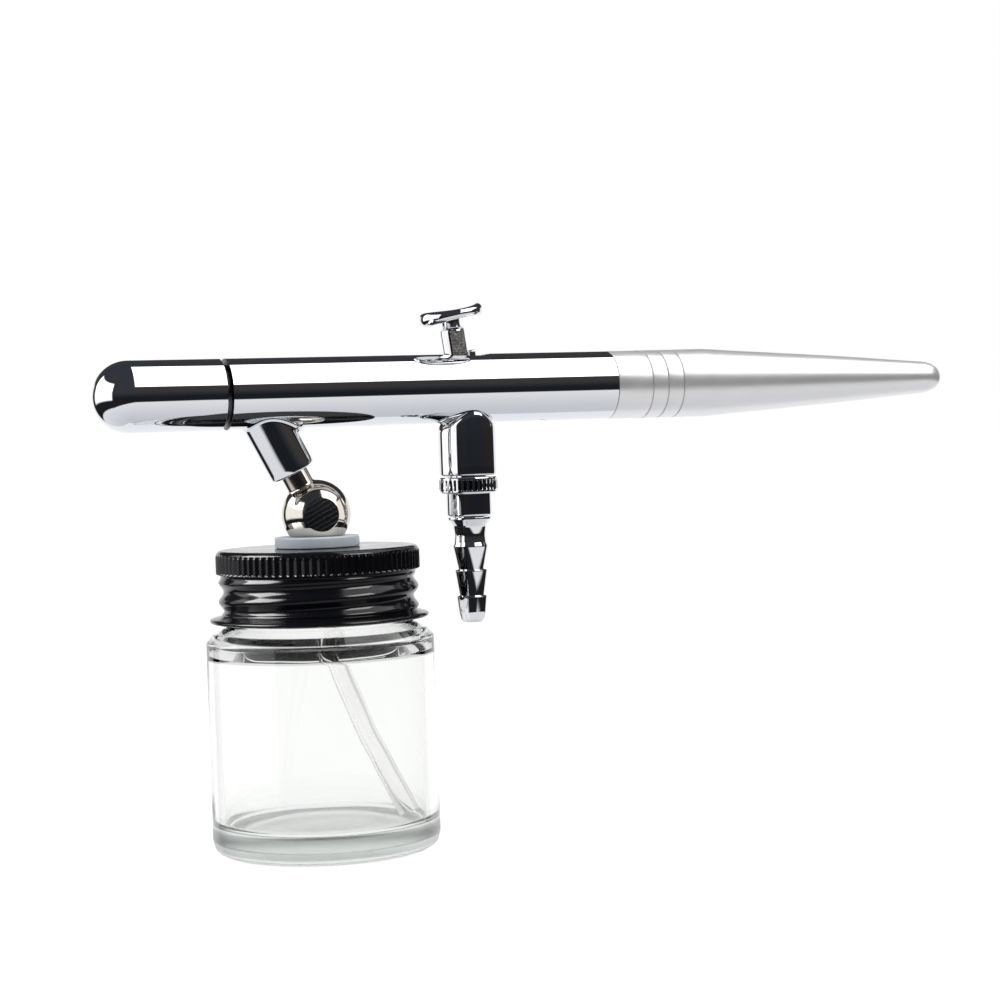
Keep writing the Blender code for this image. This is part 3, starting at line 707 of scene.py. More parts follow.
# ---------------------------------------------------------------- the gun's front
def build_cap():
    dome = arc((-31.45, 0), GUN_R, 90, 180, 44)
    hollow = arc((-31.45, 0), 5.1, 180, 90, 24)
    profile = [(-16.05, 5.1)] + soften([(-16.05, 5.1), (-16.05, GUN_R, 0.06), (-31.45, GUN_R)])[1:-1]
    profile += dome[:-1] + [(-37.45, 0), (-36.55, 0)] + hollow[1:]
    cap = lathe("protective_cap_detail", profile, GUN, 192)
    paint(cap, MATERIALS["chrome"], SHADED)
    for poly in cap.data.polygons:
        # the cap's end face at the seam gets the dark steel: painted shade in the gap
        c = poly.center / MM
        if c.x > -16.06 and math.hypot(c.y, c.z - AXIS_Z) < 5.9:
            poly.material_index = 1
    return cap


def build_barrel():
    corners = [
        (-20.5, 3.7), (-20.5, 4.9, 0.3), (-18.45, 4.9, 0.08), (-18.45, 4.35), (-17.55, 4.35), (-17.55, 4.9, 0.08),
        (-15.1, 4.9, 0.1), (-15.1, 6.0, 0.06), (54.4, 6.0, 0.05), (54.4, 4.75), (60.0, 4.75, 0.25),
        (60.0, 4.2), (36.0, 4.2), (36.0, 3.6), (12.2, 3.6), (12.2, 2.4), (1.0, 2.4), (1.0, 1.5),
        (-12.0, 1.5), (-12.0, 3.7),
    ]
    barrel = lathe("barrel_detail", soften(corners), GUN, 192)
    for slot in (slot_outline(23.4, 32.2, 2.05), slot_outline(30.5, 34.1, 0.85)):
        boolean(barrel, prism("slot", slot, AXIS_Z, AXIS_Z + 8, UPRIGHT))
    vent = [(70.9, 0), (70.9, 2.0), (71.3, 1.9), (72.3, 1.05), (72.9, 1.0), (74.5, 1.0), (74.5, 0)]
    boolean(barrel, lathe("vent", vent, frame_of((41.2, 0, 0), (0, 0, 1), (1, 0, 0)), 48))
    boolean(barrel, lathe("bore", [(68, 0), (68, 3.0), (77.05, 3.0), (77.05, 0)], VALVE, 48))
    pocket = [(28.0, -2.1), (32.2, -2.1), (32.2, 2.1), (28.0, 2.1)]
    boolean(barrel, prism("pocket", pocket, 71.95, 77.0, UPRIGHT))
    boolean(barrel, lathe("drill", [(14, 0), (14, 1.5), (22.8, 1.5), (22.8, 0)], SOCKET, 32))
    true_normals(barrel, radial_rule([((0, 0, AXIS_Z), (1, 0, 0), 6.0)]))
    paint(barrel, MATERIALS["chrome"], SHADED, MATERIALS["stainless"])
    for poly in barrel.data.polygons:
        c = poly.center / MM
        if 23 < c.x < 34.5 and abs(c.y) < 2.2 and c.z > 77.1 and math.hypot(c.y, c.z - AXIS_Z) < 5.98:
            poly.material_index = 2
        # the spigot and shoulder under the cap get the dark steel: painted shade in the seam
        if c.x < -15.06:
            poly.material_index = 1
    return barrel


def build_socket():
    lower = soften([(13.5, 2.65), (8.3, 2.65, 0.15), (8.3, 4.0, 0.35), (12.0, 4.0)])[1:-1]
    rows = [(13.5, 0.4), (13.5, 2.65)] + lower + [(9.4, 4.0), (10.6, 4.0), (11.6, 4.0)]
    return saddle_tube("fluid_socket_detail", SOCKET, SOCKET_R, rows, 1.1)


def build_casing():
    rows = [(66.5, 0.4), (66.5, 2.5)]
    rows += soften([
        (66.5, 2.5), (59.6, 2.5, 0.1), (59.6, 3.3, 0.25), (62.35, 3.3), (62.35, 5.0, 0.3), (66.0, 5.0),
    ])[1:-1]
    rows += [(64.0, 5.0), (66.0, 5.0), (68.0, 5.0)]
    return shouldered_tube("air_valve_casing_detail", VALVE, CASING_R, rows, 1.25)


def build_front_pieces():
    needle = [
        (-33.8, 0), (-33.7, 0.03), (-31.0, 0.13), (-27.0, 0.38), (-24.0, 0.6), (-23.5, 0.6),
        (78.7, 0.6), (78.95, 0.45), (79.0, 0.3), (79.0, 0),
    ]
    made = [
        (lathe("cap_friction_ring_detail", arc((-18.0, 4.72), 0.3, 0, 345, 23), GUN, 128), "cap_friction_ring"),
        turned("nozzle_holder", [
            (-12.4, 3.4, 0.2), (-21.4, 3.4), (-21.4, 4.4, 0.15), (-24.0, 4.4, 0.15), (-24.0, 2.1),
            (-19.8, 2.1), (-19.8, 1.0), (-12.4, 1.0),
        ], GUN, 96, shape=thread(-20.8, -12.8, 3.4, 0.09, 0.5)),
        turned("head_seal", [
            (-20.65, 3.75, 0.1), (-20.65, 4.5, 0.1), (-21.25, 4.5, 0.1), (-21.25, 3.75, 0.1),
        ], GUN, 96),
        turned("nozzle", [
            (-20.1, 1.8, 0.1), (-23.6, 1.8, 0.1), (-24.6, 1.45, 0.3), (-32.2, 0.72, 0.06), (-32.2, 0.42),
            (-26.0, 1.0), (-20.1, 1.0),
        ], GUN, 64),
        turned("nozzle_cap", [
            (-24.3, 4.4, 0.15), (-29.2, 4.4, 0.5), (-32.0, 2.5, 0.15), (-32.0, 1.1, 0.05), (-31.0, 1.3),
            (-28.6, 3.0), (-24.3, 3.0),
        ], GUN, 144, shape=knurl(-28.4, -25.0, 4.3, 48, 0.09)),
        turned("needle_cap", [
            (-32.3, 2.4, 0.1), (-34.4, 2.6, 0.15), (-34.8, 2.3, 0.1), (-34.8, 1.5, 0.1), (-33.0, 1.2), (-32.3, 1.2),
        ], GUN, 96),
        (lathe("needle_detail", needle, GUN, 40), "needle"),
        turned("needle_packing", [(1.3, 0.9), (1.3, 2.1, 0.15), (4.3, 2.1, 0.15), (4.3, 0.9)], GUN, 64),
        turned("packing_screw", [(4.6, 0.9), (4.6, 2.1, 0.1), (10.5, 2.1, 0.2), (10.5, 0.9)], GUN, 64),
    ]
    screw = made[-1][0]
    slot = [(9.4, -3), (11.5, -3), (11.5, 3), (9.4, 3)]
    boolean(screw, prism("slot", slot, AXIS_Z - 0.4, AXIS_Z + 0.4, UPRIGHT))
    smooth(screw, 30)
    return made


def knurl(low, high, least, teeth, depth):
    """Straight knurling on the outside between two stations."""

    def shape(z, r, a):
        mid = (z >= low) & (z <= high) & (r > least)
        return z, np.where(mid, r - depth * (0.5 + 0.5 * np.cos(a * teeth)), r)

    return shape


def thread(low, high, radius, depth, pitch):
    """Helical ridges: used with dense rows between low and high."""

    def shape(z, r, a):
        on = (z > low) & (z < high) & (np.abs(r - radius) < 0.02)
        wave = 0.5 + 0.5 * np.cos(2 * math.pi * (z / pitch - a / (2 * math.pi)))
        return z, np.where(on, r - depth * wave, r)

    return shape


def dense(profile, radius, step):
    """Adds stations along a straight run at a radius, for a thread or knurl."""
    out = []
    n = len(profile)
    for i, (a, r) in enumerate(profile):
        out.append((a, r))
        b, s = profile[(i + 1) % n]
        if abs(r - radius) < 1e-6 and abs(s - radius) < 1e-6 and abs(b - a) > step:
            count = int(abs(b - a) / step)
            for k in range(1, count):
                out.append((a + (b - a) * k / count, radius))
    return out


# ---------------------------------------------------------------- rear of the gun
def build_rear_pieces():
    chuck = [
        (30.9, 0.9), (30.9, 1.6, 0.25), (34.5, 1.6), (34.5, 3.0, 0.15), (35.7, 3.0, 0.15), (35.7, 1.6),
        (68.0, 1.6, 0.2), (68.0, 0.9),
    ]
    case = dense(soften([
        (36.5, 3.3), (36.5, 3.9, 0.15), (61.5, 3.9, 0.25), (61.5, 2.9), (52.0, 2.9), (52.0, 1.9),
        (50.0, 1.9), (50.0, 3.3),
    ]), 3.9, 0.12)
    nut = dense(soften([
        (63.0, 1.9), (63.0, 3.3, 0.3), (71.5, 3.3, 0.5), (71.5, 0.9), (68.5, 0.9), (68.5, 1.9),
    ]), 3.3, 0.4)
    return [
        turned("needle_chuck", chuck, GUN, 64),
        (coil("needle_spring_detail", GUN, 36.0, 49.7, 2.45, 0.3, 9), "needle_spring"),
        (lathe("spring_case_detail", case, GUN, 72, shape=thread(52.5, 61.0, 3.9, 0.1, 0.6)), "spring_case"),
        (lathe("chuck_nut_detail", nut, GUN, 216, shape=knurl(64.3, 70.3, 3.2, 36, 0.14)), "chuck_nut"),
        (lathe("handle_detail", handle_profile(), GUN, 192), "handle"),
    ]


def handle_profile():
    """The handle's outline: a cylinder with three fine grooves, then a long taper with a round end."""
    out = [(54.5, 5.05)] + soften([(54.5, 5.05), (54.5, 6.0, 0.06), (60.0, 6.02)])[1:-1]
    for x in (61.0, 64.0, 67.05):
        r = 6.02 + 0.004 * (x - 58)
        for shift, depth in ((-0.26, 0), (-0.16, 0.02), (-0.11, 0.26), (0.11, 0.26), (0.16, 0.02), (0.26, 0)):
            out.append((x + shift, r - depth))
    keys = [
        (70.0, 6.07), (73.2, 6.08), (75.2, 5.98), (77.2, 5.83), (81.2, 5.57), (87.0, 5.21), (93.5, 4.80),
        (104.0, 4.10), (114.8, 3.26), (119.2, 2.93),
    ]
    out += [(p[0], p[1]) for p in smooth_path([(a, r, 0) for a, r in keys], 6)]
    # the round end carries on the taper and closes on the axis
    start, end, last = 119.2, 123.0, 14
    for k in range(1, last):
        t = math.radians(90 * k / last)
        radius = 2.93 * math.cos(t) ** 0.85 - 0.24 * math.sin(t) * math.cos(t)
        out.append((start + (end - start) * math.sin(t), radius))
    out.append((end, 0.0))
    return out + [(92.0, 0), (91.5, 1.2), (76.0, 1.2), (76.0, 3.9), (62.5, 3.9), (62.5, 5.05)]


# ---------------------------------------------------------------- trigger, lever and air valve
def build_trigger():
    flat, r, half, middle, edge, flat_top = 1.68, 2.16, 0.83, 16.35, 5.65, 13.45

    def clip(verts):
        low = verts[:, 2] < flat_top
        verts[low, 1] = np.clip(verts[low, 1], -flat, flat)
        return verts

    profile = [(-1.9, 0)] + arc((0, 0), 1.9, 180, 96, 12)[1:]
    profile += [(0.4, r), (13.4, r), (13.5, r), (13.75, r - 0.06), (14.1, 1.66), (14.3, 1.60), (16.0, 1.60), (16.0, 0)]
    stem = lathe("stem", profile, TRIGGER, 96, bend=clip, sharp=24)
    across = TRIGGER @ Matrix(((0, 0, 1, 0), (0, 1, 0, 0), (1, 0, 0, 0), (0, 0, 0, 1)))
    boolean(stem, prism("slot", slot_outline(1.9, 7.1, 0.95), -4, 4, across))
    smooth(stem, 24)
    paint(stem, MATERIALS["chrome"], FILED)
    inverse = TRIGGER.inverted()
    for poly in stem.data.polygons:
        if abs((inverse.to_3x3() @ poly.normal).y) > 0.99 and (inverse @ (poly.center / MM)).z < 13.5:
            poly.material_index = 1

    def saddle(verts):
        x = verts[:, 0].copy()
        verts[:, 2] = middle + verts[:, 2] * (half + 0.37 / 4.5**2 * x**2) + 0.045 * x
        verts[:, 0] += 0.2
        return verts

    rim = [(-math.cos(t), edge - 1.25 + 1.25 * math.sin(t) ** 0.8) for t in np.linspace(0.0, math.pi, 25)]
    rings = (3.6, 2.7, 1.8, 0.9, 0.0)
    outline = [(-1.0, ring) for ring in rings[::-1]] + rim + [(1.0, ring) for ring in rings]
    button = paint(lathe("button", outline, TRIGGER, 128, bend=saddle, sharp=60), MATERIALS["chrome"])
    return join_meshes("trigger_detail", stem, button)


def build_lever():
    t, top, half, ear, waist = 0.5, 11.75, 1.8, 0.55, 7.6
    right = [(half, -0.3), (half, waist - 0.5), (half - 0.4, waist), (ear + 0.25, waist), (ear, waist + 0.25)]
    right += [(ear, top - 0.35)]
    right += [(ear * math.cos(a), top - 0.35 + 0.35 * math.sin(a)) for a in np.linspace(0.3, math.pi / 2, 5)]
    outline = right + [(-y, z) for y, z in right[-2::-1]]
    side = LEVER @ Matrix(((0, 0, 1, 0), (1, 0, 0, 0), (0, 1, 0, 0), (0, 0, 0, 1)))
    lever = prism("trigger_lever_detail", outline, -t, t, side)
    boolean(lever, prism("window", [(-0.95, 3.5), (0.95, 3.5), (0.95, 6.5), (-0.95, 6.5)], -2, 2, side))
    bevel(lever, 0.12)
    return lever


def build_collar():
    """The hose collar: a ring of slots, their bottoms painted dark as shade, between two plain edges."""
    collar = soften([
        (55.3, 3.0), (55.3, 4.0, 0.35), (59.3, 4.0, 0.1), (59.3, 4.95, 0.2), (59.55, 5.08, 0.1),
        (61.85, 5.08, 0.1), (62.1, 4.95, 0.2), (62.1, 3.6), (57.2, 3.6), (57.2, 3.0),
    ], 4)
    slots, bottom, top = 34, 59.78, 61.62
    rows = []
    for i, (a, r) in enumerate(collar):
        rows.append((a, r))
        b, s = collar[(i + 1) % len(collar)]
        if r > 5.0 and s > 5.0 and b - a > 1:
            rows += [(a + 0.18, r), (a + 0.26, r), (a + 0.36, r), (b - 0.36, r), (b - 0.26, r), (b - 0.18, r)]

    def ribs(z, r, a):
        depth = 0.42 * np.clip((z - bottom) / 0.16, 0, 1) * np.clip((top - z) / 0.16, 0, 1)
        return z, np.where(r > 5.0, r - depth * np.clip(0.2 + 1.6 * np.cos(a * slots), 0, 1), r)

    ring = lathe("hose_collar_detail", rows, VALVE, slots * 14, shape=ribs, sharp=35)
    paint(ring, MATERIALS["chrome"], SHADED)
    # the slot bottoms get the dark steel: painted shade in the recesses
    for poly in ring.data.polygons:
        c = poly.center / MM
        if bottom + 0.07 < c.z < top - 0.07 and 4.5 < math.hypot(c.x - VALVE_X, c.y) < 4.93:
            poly.material_index = 1
    return ring


def build_valve_pieces():
    made = [
        turned("air_valve_plunger", [
            (65.0, 0), (65.0, 2.2, 0.25), (66.3, 2.2, 0.1), (66.3, 1.5, 0.1), (71.8, 1.5, 0.3), (71.8, 0),
        ], VALVE, 64),
        (lathe("air_valve_ring_detail", arc((66.9, 2.0), 0.25, 0, 345, 23), VALVE, 64), "air_valve_ring"),
        (coil("air_valve_spring_detail", VALVE, 61.5, 64.7, 1.7, 0.22, 4.5), "air_valve_spring"),
        turned("air_valve_screw", [(59.8, 0.9), (59.8, 2.2, 0.15), (61.2, 2.2, 0.1), (61.2, 0.9)], VALVE, 64),
    ]
    screw = made[-1][0]
    boolean(screw, prism("slot", [(-3, -0.35), (3, -0.35), (3, 0.35), (-3, 0.35)], 59.0, 60.4, VALVE))
    smooth(screw, 30)
    seal = [(58.85, 1.5, 0.1), (58.85, 3.2, 0.2), (59.45, 3.2, 0.2), (59.45, 1.5, 0.1)]
    barb = [
        (58.7, 1.1), (58.7, 3.3, 0.2), (57.5, 3.3, 0.1), (57.5, 2.7), (55.12, 2.7), (55.12, 3.86, 0.12),
        (54.75, 3.86, 0.25), (53.6, 3.0, 0.9), (52.0, 2.74, 2.5), (50.75, 2.86, 1.0), (50.1, 3.12, 0.12),
        (49.95, 3.12, 0.06), (46.05, 2.27, 0.05), (45.85, 2.9, 0.1), (45.7, 2.9, 0.06), (41.5, 2.2, 0.05),
        (41.3, 2.7, 0.1), (41.1, 2.7, 0.1), (38.6, 2.42, 0.8), (37.4, 2.12, 0.4), (36.8, 1.78, 0.25), (36.8, 1.1, 0.1),
    ]
    made.append(turned("hose_seal", seal, VALVE, 64))
    made.append((build_collar(), "hose_collar"))
    made.append(turned("hose_barb", barb, VALVE, 128))
    return made


# ---------------------------------------------------------------- bottle side
def build_adaptor():
    """The ball with its two flats, the stem up into the socket and the threaded end down through the lid."""
    flat_axis = Matrix.Rotation(math.radians(-5.5), 4, "Z") @ Vector((0, -1, 0))
    m = frame_of(BALL_C, flat_axis, (0, 0, 1))
    flat, stem_r, fillet = 5.1, 2.35, 0.55
    edge = math.degrees(math.acos(flat / BALL_R)) + 0.6
    rim = math.sqrt(BALL_R**2 - flat**2) - 0.12
    ball = [(flat, 0), (flat, rim)] + arc((0, 0), BALL_R, edge, 180 - edge, 72) + [(-flat, rim), (-flat, 0)]
    body = lathe("ball", ball, m, 144, sharp=20)
    boolean(body, prism("base", [(-9, -9), (9, -9), (9, 9), (-9, 9)], 46, 53.15, UPRIGHT))
    true_normals(body, radial_rule([(BALL_C, BALL_R)]), 20)
    paint(body, MATERIALS["nickel"], MILLED)
    axis = np.array(flat_axis)
    for poly in body.data.polygons:
        if abs(float(np.array(poly.normal) @ axis)) > 0.999:
            poly.material_index = 1
    reach = math.sqrt((BALL_R + fillet) ** 2 - (stem_r + fillet) ** 2)
    low = math.degrees(math.atan2(stem_r + fillet, reach))
    stem_rows = [(4.4, 0), (4.4, 2.3)] + arc((reach, stem_r + fillet), fillet, 180 + low, 270, 8)
    stem_rows += [(12.5, stem_r), (13.9, 2.17), (14.1, 2.0), (14.1, 1.0), (9.0, 1.0), (9.0, 0)]
    stem = paint(lathe("stem", stem_rows, SOCKET, 96), MATERIALS["nickel"])
    rows = [(54.5, 0), (54.5, 2.45), (43.7, 2.45), (43.5, 2.25), (43.5, 1.95), (46.6, 1.95), (46.6, 0)]
    lower = lathe("lower", dense(rows, 2.45, 0.1), UPRIGHT, 72, shape=thread(43.8, 52.9, 2.45, 0.12, 0.7))
    return join_meshes("bottle_adaptor_detail", body, stem, paint(lower, MATERIALS["nickel"]))


def rolled_thread(height, angle):
    """The thread that the lid and the jar share: one start that climbs as it goes round, from 1 to -1."""
    pitch = 3.4
    return np.cos(2 * math.pi * (height - 43.5 - pitch * (angle / (2 * math.pi) - 0.75)) / pitch)


LID_FLUTES = 84


def build_lid():
    """The pressed lid: fluted skirt under the top edge, a rolled thread and a curled rim."""
    top = soften([(51.2, 14.5), (51.2, 17.2, 0.95), (47.5, 17.28)], 10)[1:-1]
    heights = (50.15, 50.0, 49.8, 49.5, 49.0, 48.5, 48.0, 47.75, 47.6, 47.48, 47.38, 47.3)
    skirt = [(z, 17.28) for z in heights] + [(47.2, 17.15), (47.1, 16.9), (47.0, 16.72), (46.9, 16.6)]
    body = [(46.8 - 0.12 * k, 16.55) for k in range(54)]
    rim = [
        (40.32, 16.5), (40.2, 16.62), (40.08, 16.85), (39.96, 17.2), (39.86, 17.6), (39.78, 17.95),
        (39.72, 18.2), (39.64, 18.4), (39.52, 18.52), (39.36, 18.56), (39.2, 18.52), (39.06, 18.4),
        (38.98, 18.2), (38.96, 17.9), (39.0, 17.6),
    ]
    outer = [(51.2, 2.8), (51.2, 7.5), (51.2, 14.5)] + top + skirt + body + rim
    inner = [
        (39.3, 16.9), (39.8, 16.0), (40.6, 15.75), (47.1, 15.75), (47.4, 16.2), (50.3, 16.6),
        (50.5, 16.3), (50.5, 2.8),
    ]

    def shape(z, r, a):
        if r[0] <= 16.45:
            return z, r
        if z[0] > 47.1:
            depth = 0.30 * np.clip((50.55 - z) / 0.5, 0, 1) ** 0.8 * np.clip((z - 47.2) / 0.25, 0, 1)
            r = r - depth * (0.5 + 0.5 * np.cos(a * LID_FLUTES)) ** 1.2
        elif 40.2 < z[0] < 47.0:
            fade = np.clip((46.7 - z) / 0.9, 0, 1) * np.clip((z - 40.25) / 0.6, 0, 1)
            r = r + fade * 0.42 * rolled_thread(z, a)
        return z, r

    return lathe("jar_lid_detail", outer + inner, UPRIGHT, LID_FLUTES * 6, shape=shape, sharp=40)


def build_jar():
    """The blown jar: a stepped foot, straight walls, a shoulder and a threaded neck."""
    wall, bore, neck_r, mouth_r = 19.32, 17.25, 15.4, 13.5
    outer = [(0.35, 0), (0.35, 13.0), (0.2, 15.0), (0.0, 15.8)]
    outer += soften([(0.0, 15.8), (0.0, 17.6, 0.5), (0.75, 18.9, 1.2), (2.4, wall, 1.5), (12.0, wall)], 8)[1:-1]
    outer += [(z, wall) for z in (8, 14, 20, 26, 31)]
    outer += soften([
        (31.0, wall), (35.7, wall, 0.9), (37.3, 18.0, 0.9), (38.15, 16.2, 0.6), (38.4, neck_r, 0.4), (40.0, neck_r),
    ], 8)[1:-1]
    neck = [(38.7 + 0.2 * k, neck_r) for k in range(47)]
    lip = soften([(47.9, neck_r), (48.8, neck_r, 0.45), (48.8, mouth_r, 0.45), (46.0, mouth_r)], 6)[1:-1]
    inner = [(44.0, mouth_r), (40.0, mouth_r)]
    inner += soften([
        (40.0, mouth_r), (37.0, mouth_r, 1.5), (35.0, 16.2, 1.4), (33.0, bore, 1.5), (26.0, bore),
    ], 8)[1:-1]
    inner += [(z, bore) for z in (24, 18, 12)]
    inner += soften([(12.0, bore), (4.7, bore, 1.3), (4.5, 10.0), (4.4, 0)], 12)[1:-1]
    inner += [(4.55, 10.0), (4.75, 5.0), (4.8, 0)]

    def shape(z, r, a):
        h = z[0]
        if 38.6 < h < 48.1 and r[0] > 15.2:
            fade = np.clip((h - 40.2) / 0.8, 0, 1) * np.clip((47.0 - h) / 0.8, 0, 1)
            r = r + fade * 0.25 * np.clip(rolled_thread(z, a) - 0.2, 0, 1)
        elif 5.0 < h < 34.0 and r[0] < 17.6:
            # the inside of blown glass is slightly uneven
            ripple = 0.02 * np.sin(5 * a + h * 0.11) + 0.012 * np.sin(9 * a - h * 0.2)
            r = r + 0.035 * np.sin(2 * a + 0.7) + ripple
        return z, r

    return lathe("jar_detail", outer + neck + lip + inner, UPRIGHT, 192, shape=shape, sharp=35)


TUBE_PATH = [(0.0, 46.2), (0.1, 43.0), (0.8, 38.5), (2.0, 34.3), (3.3, 30.6), (4.7, 27.0), (6.2, 23.4),
             (7.7, 19.8), (9.6, 16.2), (11.4, 12.6), (13.0, 9.3), (14.5, 6.2)]


def build_bottle_pieces():
    made = [
        turned("lid_washer", [(51.28, 2.8), (51.28, 7.2, 0.15), (53.07, 7.2, 0.2), (53.07, 2.8)], UPRIGHT, 144),
        turned("lid_liner", [(49.1, 2.8), (49.1, 16.3, 0.2), (50.2, 16.3, 0.2), (50.2, 2.8)], UPRIGHT, 96),
    ]
    hexagon = [(4.62 * math.cos(math.pi * k / 3), 4.62 * math.sin(math.pi * k / 3)) for k in range(6)]
    nut = prism("adaptor_nut_detail", hexagon, 46.4, 48.8, UPRIGHT)
    corners = [(46.4, 0), (46.4, 4.1), (46.75, 4.7), (48.45, 4.7), (48.8, 4.1), (48.8, 0)]
    boolean(nut, lathe("corners", corners, UPRIGHT, 96), "INTERSECT")
    bore = [(45, 0), (45, 3.3), (46.4, 3.3), (46.95, 2.75), (50, 2.75), (50, 0)]
    boolean(nut, lathe("bore", bore, UPRIGHT, 64))
    made.append((smooth(nut, 20), "adaptor_nut"))
    turn = Matrix.Rotation(math.radians(-36.0), 3, "Z")
    path = smooth_path([tuple(turn @ Vector((x, 0, z))) for x, z in TUBE_PATH], 8)
    made.append((sweep("siphon_tube_detail", path, 1.7, 1.15, 48), "siphon_tube"))
    return made


pieces = [
    (build_cap(), "protective_cap"),
    (build_barrel(), "barrel"),
    (build_socket(), "fluid_socket"),
    (build_casing(), "air_valve_casing"),
    (build_trigger(), "trigger"),
    (build_lever(), "trigger_lever"),
    (build_adaptor(), "bottle_adaptor"),
    (build_lid(), "jar_lid"),
    (build_jar(), "jar"),
]
pieces += build_front_pieces() + build_rear_pieces() + build_valve_pieces() + build_bottle_pieces()
for obj, node in pieces:
    place(obj, node)

springs = {node: obj for obj, node in pieces}
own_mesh(springs["needle_spring"])
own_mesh(springs["air_valve_spring"])


# ---------------------------------------------------------------- floor, light and camera
def build_floor():
    mesh = bpy.data.meshes.new("floor")
    s = 6.0
    mesh.from_pydata([(-s, -s, 0), (s, -s, 0), (s, s, 0), (-s, s, 0)], [], [(0, 1, 2, 3)])
    floor = put("floor", mesh)
    floor.location.z = -0.00005
    mat, tree, shader, _ = new_material("pale_floor")
    cloud = noise(tree, coords(tree), 3.0, 3.0, 0.5)
    feed(shader, "Base Color", blend_colour(tree, cloud, (0.11, 0.11, 0.11), (0.10, 0.10, 0.10)))
    shader.inputs["Roughness"].default_value = 0.9
    shader.inputs["Specular IOR Level"].default_value = 0.0
    shader.inputs["Emission Color"].default_value = (1, 1, 1, 1)
    shader.inputs["Emission Strength"].default_value = 0.955
    mesh.materials.append(mat)
    floor.visible_glossy = False


def smooth_box(tree, value, low, high, edge):
    """1 between low and high, with soft edges."""
    up = remap(tree, value, low - edge, low + edge, 0, 1, "SMOOTHSTEP")
    down = remap(tree, value, high - edge, high + edge, 1, 0, "SMOOTHSTEP")
    return math_node(tree, "MULTIPLY", up, down)


def build_world():
    """A studio seen by reflections: an overhead softbox, two at the nozzle's side, a pale wall behind the gun,
    a white table and a dark room. The camera sees plain white, and glass sees a paler room."""
    world = bpy.data.worlds.new("studio")
    bpy.context.scene.world = world
    world.use_nodes = True
    tree = world.node_tree
    tree.nodes.clear()
    degrees = 57.29578

    def times(a, b):
        return math_node(tree, "MULTIPLY", a, b)

    def minus(a, b):
        return math_node(tree, "SUBTRACT", a, b)

    def box(value, low, high, edge):
        return smooth_box(tree, value, low, high, edge)

    def background(colour, strength):
        shade = tree.nodes.new("ShaderNodeBackground")
        for socket, value in (("Color", colour), ("Strength", strength)):
            if isinstance(value, (tuple, float)):
                shade.inputs[socket].default_value = value
            else:
                tree.links.new(value, shade.inputs[socket])
        return shade.outputs[0]

    def choose(fac, first, second):
        mix = tree.nodes.new("ShaderNodeMixShader")
        for k, value in enumerate((fac, first, second)):
            tree.links.new(value, mix.inputs[k])
        return mix.outputs[0]

    direction = tree.nodes.new("ShaderNodeTexCoord").outputs["Generated"]
    sep = tree.nodes.new("ShaderNodeSeparateXYZ")
    tree.links.new(direction, sep.inputs[0])
    x, y, z = sep.outputs
    # azimuth about the camera's side, positive to its right, and height above the horizon, both in degrees
    ca, sa = math.cos(CAMERA_YAW), math.sin(CAMERA_YAW)
    right = math_node(tree, "ADD", times(x, ca), times(y, -sa))
    near = math_node(tree, "ADD", times(x, -sa), times(y, -ca))
    azimuth = times(math_node(tree, "ARCTAN2", right, near), degrees)
    height = times(math_node(tree, "ARCSINE", z), degrees)
    roll = times(math_node(tree, "ARCTAN2", z, times(y, -1.0)), degrees)
    over = times(times(box(roll, 30, 107, 1.2), box(x, 0.19, 3.0, 0.008)), box(x, -2.0, 0.80, 0.03))
    side = box(azimuth, -118, -42, 2.0)
    behind = times(box(math_node(tree, "ABSOLUTE", azimuth), 134, 400, 4), box(height, -90, 13, 2))
    below = minus(remap(tree, azimuth, -40.0, 42.0, -31.0, -16.5), height)
    table = times(box(below, 0, 200, 1.5), remap(tree, below, 0.0, 60.0, 1.0, 0.78))
    cards = [
        (times(side, box(height, -9, 18, 2.5)), 1.35),
        (times(side, box(height, 16, 37, 2.5)), 3.0),
        (behind, 1.05),
        (table, 0.92),
    ]
    light = times(over, 2.6)
    for card, strength in cards:
        light = math_node(tree, "MAXIMUM", light, times(card, strength))
    light = math_node(tree, "MAXIMUM", light, remap(tree, height, -3, 12, 0.016, 0.046))
    # the dark room has a slight tone, brown in places and blue in others
    walls = noise(tree, direction, 1.4, 0.0, 0.5)
    lit = drift(tree, height, (0.93, 0.94, 1.0), (1.0, 1.0, 1.0), -60, -10)
    dim = drift(tree, walls, (0.80, 0.93, 1.18), (1.10, 0.97, 0.96), 0.4, 0.6)
    tone = blend_colour(tree, remap(tree, light, 0.06, 0.3, 1.0, 0.0), lit, dim)
    # what glass sees: pale nearly everywhere, and darker towards the camera and overhead
    room = times(box(near, 0.25, 2.0, 0.2), box(height, -25, 60, 8))
    through = minus(minus(0.84, times(room, 0.35)), times(box(height, 38, 200, 10), 0.25))
    path = tree.nodes.new("ShaderNodeLightPath").outputs
    white = (1.0, 1.0, 1.0, 1.0)
    seen = choose(path["Is Transmission Ray"], background(tone, light), background(white, through))
    out = tree.nodes.new("ShaderNodeOutputWorld")
    tree.links.new(choose(path["Is Camera Ray"], seen, background(white, 1.0)), out.inputs["Surface"])


CAMERA_AT = (-110.17, -371.37, 69.77)
CAMERA_YAW = math.radians(21.15)
CAMERA_DIP = math.radians(1.72)
CAMERA_ROLL = math.radians(1.86)


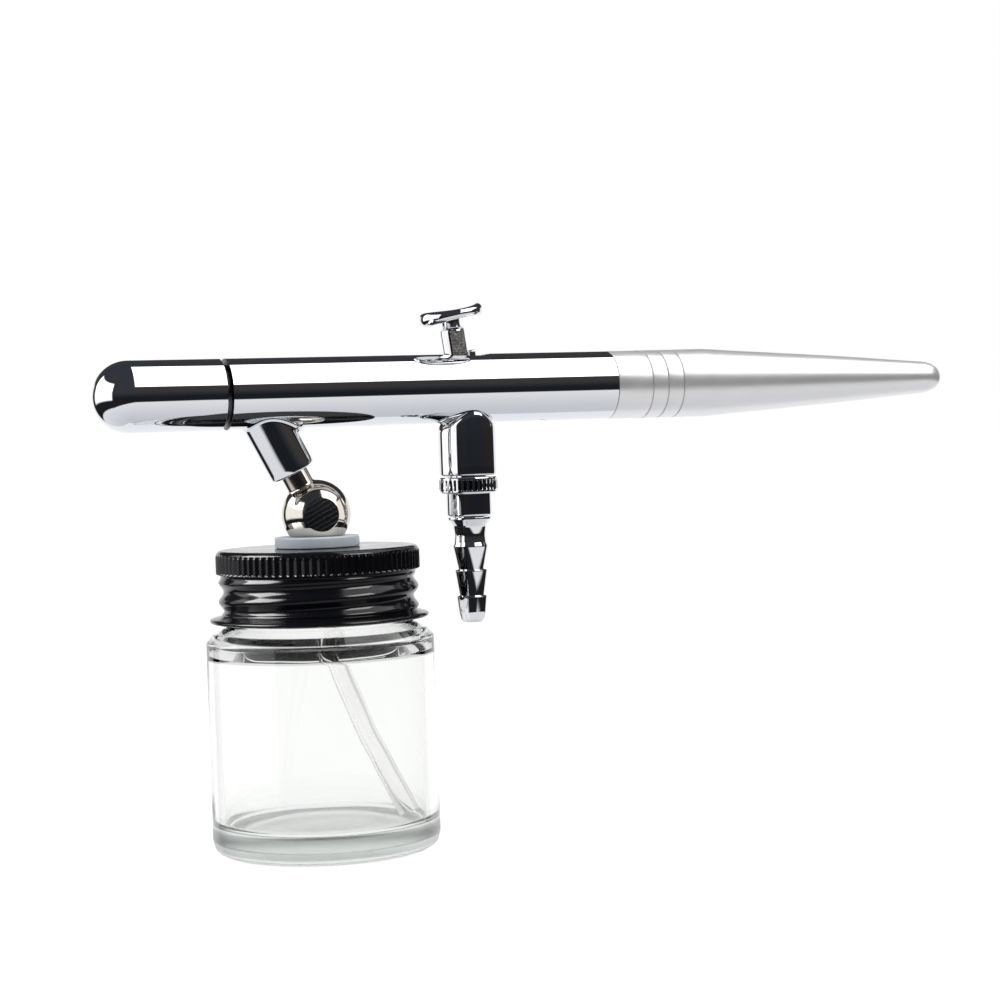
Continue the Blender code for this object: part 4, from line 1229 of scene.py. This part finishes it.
def build_camera():
    data = bpy.data.cameras.new("camera")
    data.lens = 81.95
    data.sensor_width = 36.0
    data.clip_start = 0.01
    data.clip_end = 50.0
    camera = put("camera", data)
    level = math.cos(CAMERA_DIP)
    forward = Vector((math.sin(CAMERA_YAW) * level, math.cos(CAMERA_YAW) * level, -math.sin(CAMERA_DIP)))
    right = forward.cross(Vector((0, 0, 1))).normalized()
    up = right.cross(forward)
    c, s = math.cos(CAMERA_ROLL), math.sin(CAMERA_ROLL)
    m = Matrix((right * c - up * s, right * s + up * c, -forward)).transposed().to_4x4()
    m.translation = Vector(CAMERA_AT) * MM
    camera.matrix_world = m
    bpy.context.scene.camera = camera


def area_lamp(name, width, tall, energy):
    data = bpy.data.lights.new(name, "AREA")
    data.shape = "RECTANGLE"
    data.size, data.size_y = width, tall
    data.energy = energy
    lamp = put(name, data)
    lamp.visible_camera = False
    lamp.visible_transmission = False
    return lamp


def build_lights():
    """Soft light from above for the floor and the dull pieces, and three small softboxes for single pieces."""
    lamp = area_lamp("overhead", 2.4, 2.4, 60.0)
    lamp.location = (0.1, -0.1, 1.6)
    lamp.visible_glossy = False
    accent_light("lid_left", 0.045, -72, 30, 0.34, 0.36, 24.0, "jar_lid_detail")
    accent_light("lid_right", 0.045, 56, 30, 0.26, 0.24, 14.0, "jar_lid_detail")
    accent_light("ball_right", 0.056, 100, 8, 0.52, 0.40, 1.2, "bottle_adaptor_detail")


def accent_light(name, level, azimuth, height, width, tall, radiance, piece):
    """A softbox that lights one piece, 0.5 m from the bottle's axis at a level.
    Azimuth from the camera and height are in degrees."""
    lamp = area_lamp(name, width, tall, radiance * math.pi * width * tall)
    a, h = math.radians(azimuth), math.radians(height)
    right = Vector((math.cos(CAMERA_YAW), -math.sin(CAMERA_YAW), 0))
    near = Vector((-math.sin(CAMERA_YAW), -math.cos(CAMERA_YAW), 0))
    out = (right * math.sin(a) + near * math.cos(a)) * math.cos(h) + Vector((0, 0, math.sin(h)))
    lamp.location = Vector((0.0, 0.0, level)) + out * 0.5
    lamp.rotation_euler = out.to_track_quat("Z", "Y").to_euler()
    receivers = bpy.data.collections.new(name + "_receivers")
    receivers.objects.link(bpy.data.objects[piece])
    lamp.light_linking.receiver_collection = receivers


build_floor()
build_world()
build_lights()
build_camera()
scene = bpy.context.scene
scene.view_settings.view_transform = "Standard"
scene.view_settings.look = "None"
